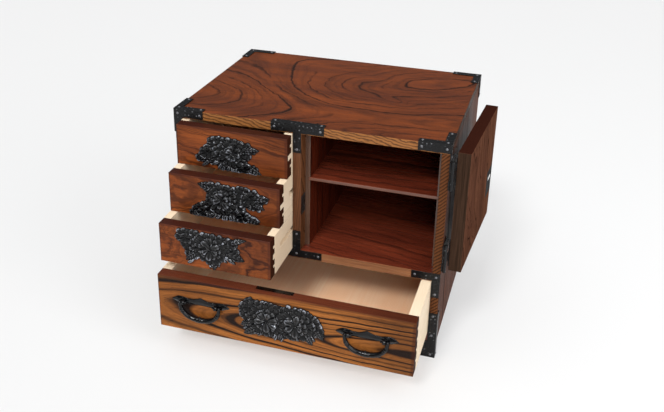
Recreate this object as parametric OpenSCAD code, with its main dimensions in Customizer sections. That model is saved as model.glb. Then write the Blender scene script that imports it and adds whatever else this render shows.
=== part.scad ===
// Small chest with iron fittings: three side-hung drawers, a cupboard with
// a hinged door and a full-width drawer below. Front faces -Y, Z is up, and
// the origin is on the floor in the middle of the case.

/* [Case] */
// Width of the wooden case, side to side
body_w = 480; // [440:5:600]
// Depth of the wooden case, front to back
body_d = 360; // [320:5:450]
// Height of the wooden case, floor to top
body_h = 410; // [390:5:480]
// Thickness of the two side panels
side_t = 14; // [11:0.5:18]
// Thickness of the top panel
top_t = 16; // [12:0.5:22]
// Thickness of the bottom panel
bottom_t = 16; // [12:0.5:22]
// Thickness of the panel between the large drawer and the upper row
mid_t = 16; // [12:0.5:22]
// Thickness of the upright divider
divider_t = 15; // [12:0.5:20]
// Thickness of the back panel
back_t = 6; // [4:0.5:10]

/* [Base] */
// Height of the bottom panel's underside above the floor
foot_h = 34; // [30:1:60]
// Height of the cut-out between the feet of a side panel
side_arch_h = 24; // [15:1:29]
// Height of the cut-out between the feet of the front and rear aprons
apron_arch_h = 20; // [10:1:26]
// Length of a foot along the side of the case
foot_len = 12; // [10:1:60]
// Width of a foot along the front of the case, side panel included
foot_w = 48; // [38:1:90]
// Thickness of the front and rear aprons
apron_t = 12; // [10:0.5:18]

/* [Openings] */
// Clear height of the large drawer's opening
large_open_h = 106; // [90:1:130]
// Clear width of the small drawers' opening
small_open_w = 202; // [170:1:215]
// Gap round a drawer front
reveal = 0.8; // [0.4:0.1:1.5]

/* [Cupboard] */
// Thickness of the board on the divider that stops the door
left_liner_t = 9; // [5:0.5:12]
// Thickness of the same board on the right side panel
right_liner_t = 5.5; // [5:0.5:12]
// Height of the shelf's upper face above the cupboard's floor
shelf_rise = 134; // [90:1:170]
// Thickness of the shelf
shelf_t = 6; // [4:0.5:10]
// Depth of the housing that holds each end of the shelf
shelf_housing = 3; // [2:0.5:4]

/* [Drawers] */
// Thickness of every drawer front
front_t = 20; // [18:0.5:26]
// Thickness of a small drawer's sides
small_side_t = 13; // [11:0.5:16]
// Thickness of the large drawer's sides
large_side_t = 17; // [13:0.5:20]
// Thickness of a drawer's back
drawer_back_t = 9; // [6:0.5:14]
// Thickness of a drawer's bottom
drawer_bottom_t = 5; // [3:0.5:8]
// How far a drawer's bottom lies above the lower edge of its front
drawer_bottom_rise = 2; // [1:0.5:5]
// Free depth behind a closed drawer
drawer_rear_gap = 14; // [6:1:40]
// How far the back of a drawer stays below its sides
drawer_back_drop = 3; // [0:0.5:12]
// Opening of the upper small drawer as shown
out_1 = 26; // [0:1:240]
// Opening of the middle small drawer as shown
out_2 = 64; // [0:1:240]
// Opening of the lower small drawer as shown
out_3 = 109; // [0:1:240]
// Opening of the large drawer as shown
out_4 = 125; // [0:1:240]
// Height of a finger of the corner joint
finger_h = 4.5; // [3:0.5:10]
// Length of a finger of the corner joint
finger_len = 6; // [3:0.5:17]
// Height of the middle one of an odd number of fingers
mid_finger_h = 9; // [4:0.5:12]
// Length of the middle finger in the upper, middle and lower small drawer
mid_finger_lens = [16, 16, 7]; // [3:0.5:17]
// Fingers on each side of a small drawer
small_fingers = 3; // [1:1:4]
// Fingers on each side of the large drawer
large_fingers = 4; // [1:1:6]

/* [Runners] */
// Depth of the running groove in a small drawer's side
groove_depth = 6.5; // [4:0.5:8]
// Height of the running groove
groove_h = 10; // [6:0.2:14]
// Distance from a drawer's upper edge to the middle of its groove
groove_drop = 32; // [16:1:40]
// Distance from a drawer's front face to the closed end of its groove
groove_stop = 47; // [30:1:80]
// Play between a runner and its groove, above and below
runner_play = 0.3; // [0.2:0.05:0.8]
// Play between a runner's face and the bottom of its groove
runner_face_play = 0.5; // [0.3:0.1:1]
// Gap between a runner's end and the closed end of its groove
runner_stop_play = 1; // [0.5:0.5:3]

/* [Door] */
// Thickness of the door
door_t = 22; // [18:0.5:26]
// Gap round the door
door_gap = 0.9; // [0.6:0.1:2]
// Gap between the closed door and its stops
door_stop_gap = 0.5; // [0.3:0.1:1.5]
// Opening angle of the door as shown
door_open = 266; // [0:1:268]
// Distance of the hinge axis from the side panel
hinge_out = 5.2; // [4.8:0.1:7]
// Distance of the hinge axis in front of the case
hinge_fwd = 3.2; // [3:0.1:3.6]
// Length of a hinge knuckle row
hinge_l = 48; // [36:1:60]
// Height of the lower hinge above the door's lower edge
hinge_low = 8; // [4:1:30]
// Distance from the door's upper edge down to the upper hinge's lower end
hinge_high = 60; // [50:1:70]
// Radius of a hinge pin
pin_r = 1.5; // [1.2:0.1:1.8]
// Play between a hinge pin and a knuckle
pin_play = 0.05; // [0.02:0.01:0.08]
// Outer radius of a knuckle
knuckle_r = 3; // [2.6:0.1:3]
// Gap between two knuckles
knuckle_gap = 0.3; // [0.2:0.1:0.6]
// Gap between the upper hinge and the corner iron above it
hinge_iron_gap = 1; // [0.5:0.5:3]
// Thickness of a hinge leaf
leaf_t = 1.2; // [0.8:0.1:1.3]
// Gap between the door's leaf and the edge of the side panel
leaf_gap = 0.3; // [0.2:0.1:0.5]
// Length of a hinge leaf on the door
door_leaf_l = 44; // [30:1:80]
// Length of a hinge leaf on the side panel
side_leaf_l = 32; // [20:1:60]
// Height of the curl on a hinge pin
finial_h = 20; // [14:1:26]

/* [Door lock] */
// Height of the lock's middle above the door's lower edge
lock_rise = 79; // [60:1:120]
// Height of the lock's plates
lock_h = 52; // [40:1:70]
// Width of the lock's plate on the door's inner face
lock_w = 46; // [44:1:60]
// Thickness of the lock's plates
lock_plate_t = 1.2; // [0.8:0.1:2]
// Depth of the lock's box in the door
lock_box_d = 11; // [10:0.5:12]
// Height of the bolt's middle above the lock's middle
bolt_rise = 7; // [0:1:12]
// Height of the bolt
bolt_h = 9; // [6:0.5:12]
// Thickness of the bolt
bolt_t = 5; // [3:0.5:6]
// Length of the bolt
bolt_l = 36; // [28:1:37]
// How far the thrown bolt reaches past the door's edge
bolt_throw = 8; // [5:0.5:9]
// Play round the bolt
bolt_play = 0.3; // [0.2:0.05:0.5]
// Width of the round plate on the door's outer face
escutcheon_d = 62; // [44:1:80]
// Distance of that plate's middle from the door's free edge
escutcheon_in = 37; // [32:1:60]
// Outer radius of the raised ring on that plate
ring_r = 18; // [10:1:20]
// Width of the raised ring
ring_w = 4; // [2:0.5:6]
// Distance of the bolt's rib from either end of its slot
rib_margin = 3; // [2:0.5:5]

/* [Handles] */
// Distance of a handle's middle from the side of the case
handle_inset = 94; // [80:1:110]
// Distance from the drawer front's upper edge down to the bail's axis
handle_drop = 43; // [36:1:50]
// Distance between the middles of a handle's two posts
post_span = 60; // [56:1:76]
// Width of a post
post_w = 5; // [4:0.5:7]
// Radius of a post's eye
post_r = 4; // [3.5:0.1:4.5]
// Distance of the bail's axis in front of the drawer front
bail_fwd = 7; // [6.6:0.1:9]
// Radius of the bail's pins
bail_pin_r = 1.7; // [1.4:0.1:2]
// Play between a pin and its eye
bail_play = 0.06; // [0.02:0.01:0.1]
// Thickness of the bail at its ends
bail_thin = 6; // [4:0.5:6]
// Thickness of the bail in the middle
bail_thick = 9; // [7:0.5:9.5]
// Radius of the ball at each end of the bail
bail_ball_r = 2.8; // [2.6:0.1:3.2]
// Gap between that ball and its post
bail_end_gap = 0.8; // [0.2:0.1:1]
// How far the bail hangs below its axis, to the middle of the rod
bail_drop = 30; // [26:1:44]
// How far a bail's pin reaches through its post
pin_stub = 2; // [1:0.5:4]
// Width of the bead in the middle of the bail
bead_w = 5; // [3:0.5:8]
// Radius of that bead
bead_r = 5; // [4.8:0.1:5.4]
// Width of a handle's plate
handle_plate_w = 108; // [92:1:116]
// Thickness of the handle's plate
handle_plate_t = 1.2; // [0.8:0.1:2]
// Radius of the round seat of a post on the plate
plate_seat_r = 8; // [6:0.5:10]
// Radius of the hump in the middle of the plate
plate_hump_r = 11; // [8:0.5:14]

/* [Iron fittings] */
// Thickness of the iron straps
iron_t = 1.5; // [1:0.1:2]
// Width of the straps on the front
strap_w = 14; // [11:0.5:15]
// Width of the straps on the top and the sides
flange_w = 12; // [9:0.5:16]
// Length of a corner strap along the front and back edges
corner_len = 53; // [40:1:80]
// Length of a corner strap along the side edges of the top
corner_run = 51; // [40:1:80]
// Length of a corner strap down the case
corner_fall = 42; // [30:1:60]
// Width of the T-shaped strap over the divider
tee_w = 93; // [70:1:120]
// Length of the stem of the T-shaped strap, from the top of the case
tee_fall = 50; // [40:1:70]
// Length of the strap up the divider's foot
divider_strap_l = 38; // [25:1:60]
// Reach of the strap along the rail on each side of the divider's middle
divider_strap_reach = 46; // [30:1:70]
// Reach of the side straps along the rail, from the side of the case
rail_strap_l = 50; // [36:1:80]
// Length of the side straps down from the rail's upper edge
rail_strap_fall = 47; // [30:1:70]
// Height of the foot straps
foot_strap_h = 92; // [70:1:110]
// Radius of a nail head
nail_r = 2.3; // [1.6:0.1:3]
// Height of a nail head
nail_h = 1.4; // [0.8:0.1:2]
// Distance of a nail from the end of its strap
nail_inset = 6; // [4:0.5:9]

/* [Ornaments] */
// Thickness of an ornament's plate
orn_plate_t = 1.2; // [0.8:0.1:2]
// Height of one layer of petals or leaves above the plate
orn_layer_t = 1.3; // [0.8:0.1:1.6]
// Gap between a cut ornament and the edge of its drawer front
orn_edge_gap = 0.6; // [0.3:0.1:2]
// Width of the lock's strip in the large drawer's upper edge
strip_w = 66; // [50:1:90]
// Depth of that strip, front to back
strip_d = 9; // [6:0.5:12]
// Thickness of that strip
strip_t = 1.2; // [0.8:0.1:2]
// Distance of that strip's middle from the drawer's middle
strip_x = -17; // [-30:1:30]

/* [Hidden] */
$fn = 32;

ZELKOVA = "sienna";
DARK_WOOD = "saddlebrown";
PALE_WOOD = "wheat";
IRON = "dimgray";
STEEL = "silver";

// Small overshoot that keeps a cut from ending on a face
cut = 1;

// Case
half_w = body_w / 2;
front_y = -body_d / 2;
rear_y = body_d / 2;
inner_x = half_w - side_t;
back_y = rear_y - back_t;
floor_z = foot_h + bottom_t;
mid_z = floor_z + large_open_h;
upper_z = mid_z + mid_t;
top_z = body_h - top_t;
upper_h = top_z - upper_z;

// Upper row, from left to right
divider_x0 = -inner_x + small_open_w;
divider_x1 = divider_x0 + divider_t;
divider_mid = (divider_x0 + divider_x1) / 2;
liner_y = front_y + door_t + door_stop_gap;
cup_x0 = divider_x1 + left_liner_t;
cup_x1 = inner_x - right_liner_t;
shelf_z = upper_z + shelf_rise - shelf_t;

// Drawers: left edge, right edge, lower edge and height of each front
small_x0 = -inner_x + reveal;
small_x1 = divider_x0 - reveal;
small_h = (upper_h - 4 * reveal) / 3;
function small_z(row) = top_z - row * (small_h + reveal);
large_x0 = -inner_x + reveal;
large_x1 = inner_x - reveal;
large_z0 = floor_z + reveal;
large_h = large_open_h - 2 * reveal;
drawer_len = back_y - drawer_rear_gap - front_y;
runner_h = groove_h - 2 * runner_play;
runner_reach = reveal + groove_depth - runner_face_play;

// Door, in its closed place. The inner corner of its free edge just clears the
// divider as it swings.
pin_x = half_w + hinge_out;
pin_y = front_y - hinge_fwd;
swing_r = pin_x - divider_x1 - door_gap;
door_x0 = pin_x - sqrt(pow(swing_r, 2) - pow(door_t + hinge_fwd, 2));
door_x1 = inner_x - door_gap;
door_z0 = upper_z + door_gap;
door_z1 = top_z - door_gap;
hinge_z = [door_z0 + hinge_low, door_z1 - hinge_high];
knuckle_l = hinge_l / 3;
hinge_corner_fall = min(corner_fall, body_h - hinge_z[1] - hinge_l - hinge_iron_gap);
lock_z = door_z0 + lock_rise;
bolt_z = lock_z + bolt_rise;
bolt_y = front_y + door_t - lock_plate_t - bolt_play - bolt_t / 2;
rib_half_h = bolt_h / 3;
strike_half_h = 2 * bolt_h;

// Handles
handle_x = half_w - handle_inset;
handle_z = large_z0 + large_h - handle_drop;
large_face_y = front_y - out_4;
bail_y = large_face_y - bail_fwd;

// Peony sprays on the drawer fronts, measured from the middle of each front.
// A blossom is [x, z, radius] and a leaf is [x, z, direction, length, width].
upper_blossoms = [[-14, 3, 24], [-42, -5, 15]];
upper_leaves = [[4, 1, 8, 38, 22], [-36, -8, 200, 32, 22], [-26, -20, -17, 84, 26],
                [-20, -18, 214, 20, 15], [-30, 6, 128, 24, 18], [-12, 10, 40, 34, 20]];
middle_blossoms = [[0, 6, 24], [34, 10, 15]];
middle_leaves = [[16, 8, 6, 63, 26], [30, 2, -17, 43, 17], [-2, 14, 171, 42, 20],
                 [-12, -14, 201, 56, 26], [0, -20, -15, 64, 22], [-8, -8, -80, 28, 26],
                 [6, 18, 24, 46, 18]];
lower_blossoms = [[-22, 11, 25], [12, 16, 15]];
lower_leaves = [[2, 22, 12, 55, 22], [0, 6, -17, 54, 22], [-3, -2, -88, 34, 22],
                [-24, -2, -131, 35, 22], [-28, 14, 172, 42, 26], [-40, 22, 164, 28, 18]];
large_blossoms = [[-30, 8, 30], [28, 6, 31]];
large_leaves = [[-42, 16, 189, 35, 24], [-40, 0, 212, 37, 22], [-34, -12, 224, 34, 20],
                [40, 0, -20, 37, 26], [34, -6, -58, 25, 16], [0, -4, -90, 30, 18],
                [-42, 24, 139, 26, 18], [36, 20, 38, 30, 20], [-2, 12, 92, 28, 20]];
petal_count = 9;

// Bail drawn in its own plane: x across, z up, the axis at z = 0.
// Its rod is an eight-sided sweep that swells toward the middle.
bail_steps = 24;
bail_sides = 8;
bail_half = post_span / 2 + post_w / 2 + bail_end_gap + bail_ball_r;
function bail_centre(t) = [-bail_half * cos(t), 0, -bail_drop * sin(t)];
function bail_heading(t) = atan2(-bail_drop * cos(t), bail_half * sin(t));
function bail_r(t) = (bail_thin + (bail_thick - bail_thin) * pow(sin(t), 2)) / 2;
bail_points = [for (i = [0 : bail_steps], k = [0 : bail_sides - 1])
    let (t = 180 * i / bail_steps, a = 360 * (k + 0.5) / bail_sides, h = bail_heading(t))
    bail_centre(t) + bail_r(t) * [-sin(h) * cos(a), sin(a), cos(h) * cos(a)]];
bail_faces = concat(
    [[for (k = [0 : bail_sides - 1]) bail_sides - 1 - k]],
    [[for (k = [0 : bail_sides - 1]) bail_steps * bail_sides + k]],
    [for (i = [0 : bail_steps - 1], k = [0 : bail_sides - 1], half = [0, 1])
        let (a = i * bail_sides + k, b = i * bail_sides + (k + 1) % bail_sides,
             c = b + bail_sides, d = a + bail_sides)
        half == 0 ? [a, b, c] : [a, c, d]]);

// Plain box between two corners
module box(x0, x1, y0, y1, z0, z1) {
    translate([x0, y0, z0]) cube([x1 - x0, y1 - y0, z1 - z0]);
}

// Round nail head standing on a face that looks toward +Z
module nail_head() {
    ball_r = (nail_r * nail_r + nail_h * nail_h) / (2 * nail_h);
    rotate_extrude() intersection() {
        translate([0, nail_h - ball_r]) circle(ball_r, $fn = 64);
        square([nail_r, nail_h]);
    }
}

module nail_on_front(x, z) {
    translate([x, front_y - iron_t, z]) rotate([90, 0, 0]) nail_head();
}

module nail_on_top(x, y) {
    translate([x, y, body_h + iron_t]) nail_head();
}

// side is -1 for the left panel and 1 for the right panel
module nail_on_side(side, y, z) {
    translate([side * (half_w + iron_t), y, z]) rotate([0, side * 90, 0]) nail_head();
}

// Door pieces are drawn closed and then swung about the hinge axis
module swing() {
    translate([pin_x, pin_y, 0]) rotate([0, 0, door_open]) translate([-pin_x, -pin_y, 0]) children();
}

// Case

module top_panel() {
    color(ZELKOVA) box(-half_w, half_w, front_y, rear_y, top_z, body_h);
}

module side_panel(side) {
    x_in = side * inner_x;
    x_out = side * half_w;
    color(ZELKOVA) difference() {
        box(min(x_in, x_out), max(x_in, x_out), front_y, rear_y, 0, top_z);
        box(min(x_in, x_out) - cut, max(x_in, x_out) + cut, front_y + foot_len, rear_y - foot_len,
            -cut, side_arch_h);
    }
}

module left_side_panel() {
    side_panel(-1);
}

module right_side_panel() {
    side_panel(1);
}

module bottom_panel() {
    color(DARK_WOOD) box(-inner_x, inner_x, front_y, back_y, foot_h, floor_z);
}

module middle_panel() {
    color(DARK_WOOD) box(-inner_x, inner_x, front_y, back_y, mid_z, upper_z);
}

module divider() {
    color(DARK_WOOD) difference() {
        box(divider_x0, divider_x1, front_y, back_y, upper_z, top_z);
        bolt_pocket();
    }
}

// Hole that the thrown bolt enters, in the divider and in its strike plate
module bolt_pocket() {
    box(door_x0 - bolt_throw - bolt_play, divider_x1 + cut, bolt_y - bolt_t / 2 - bolt_play,
        bolt_y + bolt_t / 2 + bolt_play, bolt_z - bolt_h / 2 - bolt_play, bolt_z + bolt_h / 2 + bolt_play);
    strike_recess();
}

// Shallow recess that the strike plate fills
module strike_recess() {
    box(divider_x1 - lock_plate_t, divider_x1 + cut, front_y + bolt_play, liner_y - bolt_play,
        bolt_z - strike_half_h, bolt_z + strike_half_h);
}

module strike_plate() {
    color(IRON) difference() {
        box(divider_x1 - lock_plate_t, divider_x1, front_y + bolt_play, liner_y - bolt_play,
            bolt_z - strike_half_h, bolt_z + strike_half_h);
        box(divider_x1 - lock_plate_t - cut, divider_x1 + cut, bolt_y - bolt_t / 2 - bolt_play,
            bolt_y + bolt_t / 2 + bolt_play, bolt_z - bolt_h / 2 - bolt_play,
            bolt_z + bolt_h / 2 + bolt_play);
    }
}

module back_panel() {
    color(PALE_WOOD) box(-inner_x, inner_x, back_y, rear_y, foot_h, top_z);
}

module liner(x0, x1, housing_x0) {
    color(DARK_WOOD) difference() {
        box(x0, x1, liner_y, back_y, upper_z, top_z);
        box(housing_x0, housing_x0 + shelf_housing, liner_y - cut, back_y + cut,
            shelf_z, shelf_z + shelf_t);
    }
}

module left_liner() {
    liner(divider_x1, cup_x0, cup_x0 - shelf_housing);
}

module right_liner() {
    liner(cup_x1, inner_x, cup_x1);
}

module shelf() {
    color(DARK_WOOD) box(cup_x0 - shelf_housing, cup_x1 + shelf_housing, liner_y, back_y,
                         shelf_z, shelf_z + shelf_t);
}

// Battens that the small drawers hang on, two to a drawer
module drawer_runners() {
    color(PALE_WOOD) for (row = [1 : 3]) {
        z0 = small_z(row) + small_h - groove_drop - runner_h / 2;
        box(-inner_x, -inner_x + runner_reach, front_y + groove_stop + runner_stop_play, back_y,
            z0, z0 + runner_h);
        box(divider_x0 - runner_reach, divider_x0, front_y + groove_stop + runner_stop_play, back_y,
            z0, z0 + runner_h);
    }
}

// Board under the front or rear edge, with a foot at each end
module apron(y0) {
    color(DARK_WOOD) difference() {
        box(-inner_x, inner_x, y0, y0 + apron_t, 0, foot_h);
        box(-half_w + foot_w, half_w - foot_w, y0 - cut, y0 + apron_t + cut, -cut, apron_arch_h);
    }
}

module front_apron() {
    apron(front_y);
}

module rear_apron() {
    apron(rear_y - apron_t);
}

// Iron fittings of the case

// Three-faced corner iron, drawn at the front left; fall is the length of its
// arm down the side, and the stile strap runs down the edge of the side panel
module corner_iron(with_stile_strap, fall) {
    box(-half_w - iron_t, -half_w + corner_len, front_y - iron_t, front_y,
        body_h - strap_w, body_h + iron_t);
    box(-half_w - iron_t, -half_w + corner_len, front_y, front_y + flange_w, body_h, body_h + iron_t);
    box(-half_w - iron_t, -half_w + flange_w, front_y, front_y + corner_run, body_h, body_h + iron_t);
    box(-half_w - iron_t, -half_w, front_y - iron_t, front_y + flange_w, body_h - fall, body_h + iron_t);
    if (with_stile_strap) {
        box(-half_w - iron_t, -half_w + side_t, front_y - iron_t, front_y,
            body_h - fall, body_h + iron_t);
    }
}

// The right corner leaves the door's hinge free
module front_corner_irons() {
    color(IRON) {
        corner_iron(true, corner_fall);
        mirror([1, 0, 0]) corner_iron(false, hinge_corner_fall);
    }
}

module rear_corner_irons() {
    color(IRON) mirror([0, 1, 0]) {
        corner_iron(true, corner_fall);
        mirror([1, 0, 0]) corner_iron(true, corner_fall);
    }
}

// T over the upper end of the divider, with a flange on the top panel
module top_tee_iron() {
    color(IRON) {
        box(divider_mid - tee_w / 2, divider_mid + tee_w / 2, front_y - iron_t, front_y,
            body_h - strap_w, body_h + iron_t);
        box(divider_mid - tee_w / 2, divider_mid + tee_w / 2, front_y, front_y + flange_w,
            body_h, body_h + iron_t);
        box(divider_mid - strap_w / 2, divider_mid + strap_w / 2, front_y - iron_t, front_y,
            body_h - tee_fall, body_h);
    }
}

// Reversed T over the foot of the divider
module divider_foot_iron() {
    color(IRON) {
        box(divider_mid - divider_strap_reach, divider_mid + divider_strap_reach,
            front_y - iron_t, front_y, upper_z - strap_w, upper_z);
        box(divider_mid - strap_w / 2, divider_mid + strap_w / 2, front_y - iron_t, front_y,
            upper_z - strap_w, upper_z + divider_strap_l);
    }
}

// Straps where the rail meets the side panels
module rail_end_irons() {
    color(IRON) for (side = [-1, 1]) {
        x_in = side * (half_w - rail_strap_l);
        x_stile = side * (half_w - side_t);
        x_out = side * half_w;
        box(min(x_in, x_out), max(x_in, x_out), front_y - iron_t, front_y, upper_z - strap_w, upper_z);
        box(min(x_stile, x_out), max(x_stile, x_out), front_y - iron_t, front_y,
            upper_z - rail_strap_fall, upper_z);
    }
}

// Angle iron round one foot, drawn at the front left
module foot_iron() {
    box(-half_w - iron_t, -half_w + side_t, front_y - iron_t, front_y, 0, foot_strap_h);
    box(-half_w - iron_t, -half_w + foot_w, front_y - iron_t, front_y, 0, foot_h);
    box(-half_w - iron_t, -half_w, front_y, front_y + foot_len, 0, side_arch_h);
    box(-half_w - iron_t, -half_w, front_y, front_y + flange_w, 0, foot_strap_h);
}

module foot_irons() {
    color(IRON) for (mx = [0, 1], my = [0, 1]) {
        mirror([mx, 0, 0]) mirror([0, my, 0]) foot_iron();
    }
}

// All nail heads on the case, fitting by fitting
module case_nails() {
    strap_mid_z = body_h - strap_w / 2;
    rail_mid_z = upper_z - strap_w / 2;
    color(STEEL) {
        for (side = [-1, 1]) {
            nail_on_front(side * (half_w - corner_len + nail_inset), strap_mid_z);
            nail_on_front(side * (half_w - nail_inset), strap_mid_z);
            nail_on_front(side * (half_w - rail_strap_l + nail_inset), rail_mid_z);
            nail_on_front(side * (half_w - side_t / 2), rail_mid_z);
            nail_on_front(side * (half_w - side_t / 2), upper_z - rail_strap_fall + nail_inset);
            nail_on_front(side * (half_w - side_t / 2), foot_strap_h - nail_inset);
            nail_on_front(side * (half_w - side_t / 2), foot_strap_h / 2);
            nail_on_front(side * (half_w - side_t / 2), nail_inset);
            nail_on_front(side * (half_w - foot_w + nail_inset), nail_inset);
            nail_on_side(side, rear_y - flange_w / 2, body_h - corner_fall + nail_inset);
            nail_on_side(side, front_y + flange_w / 2, foot_strap_h - nail_inset);
            nail_on_side(side, rear_y - flange_w / 2, foot_strap_h - nail_inset);
            nail_on_side(side, front_y + foot_len - nail_inset, nail_inset);
            nail_on_side(side, rear_y - foot_len + nail_inset, nail_inset);
            for (end = [-1, 1]) {
                nail_on_top(side * (half_w - flange_w / 2), end * (rear_y - corner_run + nail_inset));
                nail_on_top(side * (half_w - flange_w / 2), end * (rear_y - flange_w / 2));
                nail_on_top(side * (half_w - corner_len + nail_inset), end * (rear_y - flange_w / 2));
            }
            nail_on_front(divider_mid + side * (tee_w / 2 - nail_inset), strap_mid_z);
            nail_on_top(divider_mid + side * (tee_w / 2 - nail_inset), front_y + flange_w / 2);
            nail_on_front(divider_mid + side * (divider_strap_reach - nail_inset), rail_mid_z);
        }
        nail_on_side(-1, front_y + flange_w / 2, body_h - corner_fall + nail_inset);
        nail_on_side(1, front_y + flange_w / 2, body_h - hinge_corner_fall + nail_inset);
        nail_on_front(-half_w + side_t / 2, body_h - corner_fall + nail_inset);
        mirror([0, 1, 0]) rear_nails();
        nail_on_front(divider_mid, body_h - tee_fall + nail_inset);
        nail_on_front(divider_mid, upper_z + divider_strap_l - nail_inset);
        nail_on_front(divider_mid, rail_mid_z);
    }
}

// Nails of the rear irons, drawn on the front
module rear_nails() {
    for (side = [-1, 1]) {
        nail_on_front(side * (half_w - corner_len + nail_inset), body_h - strap_w / 2);
        nail_on_front(side * (half_w - nail_inset), body_h - strap_w / 2);
        nail_on_front(side * (half_w - side_t / 2), body_h - corner_fall + nail_inset);
        nail_on_front(side * (half_w - side_t / 2), foot_strap_h - nail_inset);
        nail_on_front(side * (half_w - side_t / 2), nail_inset);
        nail_on_front(side * (half_w - foot_w + nail_inset), nail_inset);
    }
}

// Hinges

// One knuckle with its bore, standing on z0
module knuckle(z0, length) {
    difference() {
        union() {
            translate([pin_x, pin_y, z0]) cylinder(r = knuckle_r, h = length);
            children();
        }
        translate([pin_x, pin_y, z0 - cut]) cylinder(r = pin_r + pin_play, h = length + 2 * cut);
    }
}

// Leaf on the side panel, with the lower and the upper knuckle
module side_leaf(z0) {
    for (k = [0, 2]) {
        knuckle(z0 + k * knuckle_l, knuckle_l) {
            box(half_w, pin_x, pin_y - leaf_t / 2, pin_y + leaf_t / 2,
                z0 + k * knuckle_l, z0 + (k + 1) * knuckle_l);
            box(half_w, half_w + leaf_t, pin_y - leaf_t / 2, front_y + cut,
                z0 + k * knuckle_l, z0 + (k + 1) * knuckle_l);
        }
    }
    box(half_w, half_w + leaf_t, front_y + leaf_gap, front_y + side_leaf_l, z0, z0 + hinge_l);
}

module hinge_side_leaves() {
    color(IRON) for (z0 = hinge_z) side_leaf(z0);
}

// Leaf on the door's face, with the middle knuckle
module door_leaf(z0) {
    z_low = z0 + knuckle_l + knuckle_gap;
    z_high = z0 + 2 * knuckle_l - knuckle_gap;
    y_back = front_y - leaf_gap;
    knuckle(z_low, z_high - z_low)
        box(door_x1 - cut, pin_x, y_back - leaf_t, y_back, z_low, z_high);
    box(door_x1 - door_leaf_l, door_x1, y_back - leaf_t, front_y, z0, z0 + hinge_l);
}

module hinge_door_leaves() {
    color(IRON) swing() for (z0 = hinge_z) door_leaf(z0);
}

// Pin with a flat head below and a curl above
module hinge_pin(z0) {
    head_t = 3 * knuckle_gap;
    wire_r = 0.8 * pin_r;
    ball_r = 1.5 * wire_r;
    curl_r = finial_h / 8;
    stem = finial_h - 2 * curl_r - wire_r;
    translate([pin_x, pin_y, z0]) {
        translate([0, 0, -head_t]) cylinder(r = knuckle_r, h = head_t);
        cylinder(r = pin_r, h = hinge_l);
        translate([0, 0, hinge_l]) cylinder(r = knuckle_r, h = knuckle_r);
        translate([0, 0, hinge_l]) cylinder(r = wire_r, h = stem);
        translate([curl_r, 0, hinge_l + stem]) rotate([90, 0, 0])
            rotate_extrude(angle = 180) translate([curl_r, 0]) circle(wire_r);
        translate([2 * curl_r, 0, hinge_l + stem]) sphere(ball_r);
    }
}

module hinge_pins() {
    color(IRON) for (z0 = hinge_z) hinge_pin(z0);
}

// Door and its lock, drawn closed

// Solid shape of the lock: inner plate, edge plate and box. Its recess in the
// door is the same shape with the two open sides run on by over.
module lock_shape(over) {
    y_in = front_y + door_t;
    low = lock_z - lock_h / 2;
    high = lock_z + lock_h / 2;
    box(door_x0 - over, door_x0 + lock_w, y_in - lock_plate_t, y_in + over, low, high);
    box(door_x0 - over, door_x0 + lock_plate_t, y_in - lock_box_d, y_in + over, low, high);
    box(door_x0 - over, door_x0 + lock_w - nail_inset, y_in - lock_box_d, y_in + over,
        low + nail_inset, high - nail_inset);
}

module door_panel() {
    color(ZELKOVA) swing() difference() {
        box(door_x0, door_x1, front_y, front_y + door_t, door_z0, door_z1);
        lock_shape(cut);
    }
}

// Way of the bolt through the lock, and the slot that its rib runs in
module bolt_way() {
    box(door_x0 - cut, door_x0 + bolt_l + bolt_play, bolt_y - bolt_t / 2 - bolt_play,
        bolt_y + bolt_t / 2 + bolt_play, bolt_z - bolt_h / 2 - bolt_play, bolt_z + bolt_h / 2 + bolt_play);
    box(door_x0 + rib_margin - bolt_play, door_x0 + bolt_l - rib_margin + bolt_play, bolt_y,
        front_y + door_t + cut, bolt_z - rib_half_h - bolt_play, bolt_z + rib_half_h + bolt_play);
}

module door_lock_case() {
    color(IRON) swing() difference() {
        lock_shape(0);
        bolt_way();
    }
}

// Bolt in its withdrawn place, flush with the door's edge
module door_lock_bolt() {
    color(STEEL) swing() {
        box(door_x0, door_x0 + bolt_l, bolt_y - bolt_t / 2, bolt_y + bolt_t / 2,
            bolt_z - bolt_h / 2, bolt_z + bolt_h / 2);
        box(door_x0 + bolt_throw + rib_margin, door_x0 + bolt_l - rib_margin, bolt_y, front_y + door_t,
            bolt_z - rib_half_h, bolt_z + rib_half_h);
    }
}

// Scalloped plate on the door's outer face, with a keyhole
module door_escutcheon() {
    keyhole_r = 3;
    scallops = 8;
    x_mid = door_x0 + escutcheon_in;
    color(IRON) swing() translate([x_mid, front_y, lock_z]) rotate([90, 0, 0]) difference() {
        union() {
            linear_extrude(orn_plate_t) scalloped(escutcheon_d / 2, scallops);
            linear_extrude(orn_plate_t + orn_layer_t) difference() {
                circle(ring_r);
                circle(ring_r - ring_w);
            }
        }
        translate([0, 0, -cut]) cylinder(r = keyhole_r, h = orn_plate_t + orn_layer_t + 2 * cut);
        translate([-keyhole_r / 2, -3 * keyhole_r, -cut])
            cube([keyhole_r, 3 * keyhole_r, orn_plate_t + orn_layer_t + 2 * cut]);
    }
}

module door_nails() {
    leaf_nail_x = [door_x1 - door_leaf_l + nail_inset, door_x1 - nail_inset];
    color(STEEL) swing() {
        for (z0 = hinge_z, x = leaf_nail_x, end = [nail_inset, hinge_l - nail_inset]) {
            translate([x, front_y - leaf_gap - leaf_t, z0 + end]) rotate([90, 0, 0]) nail_head();
        }
        for (side = [-1, 1]) {
            x = door_x0 + escutcheon_in + side * (escutcheon_d / 2 - nail_inset);
            translate([x, front_y - orn_plate_t, lock_z]) rotate([90, 0, 0]) nail_head();
        }
    }
}

// Drawers. A drawer is placed by its left and right edge, its lower edge,
// its height and how far it stands open.

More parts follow.
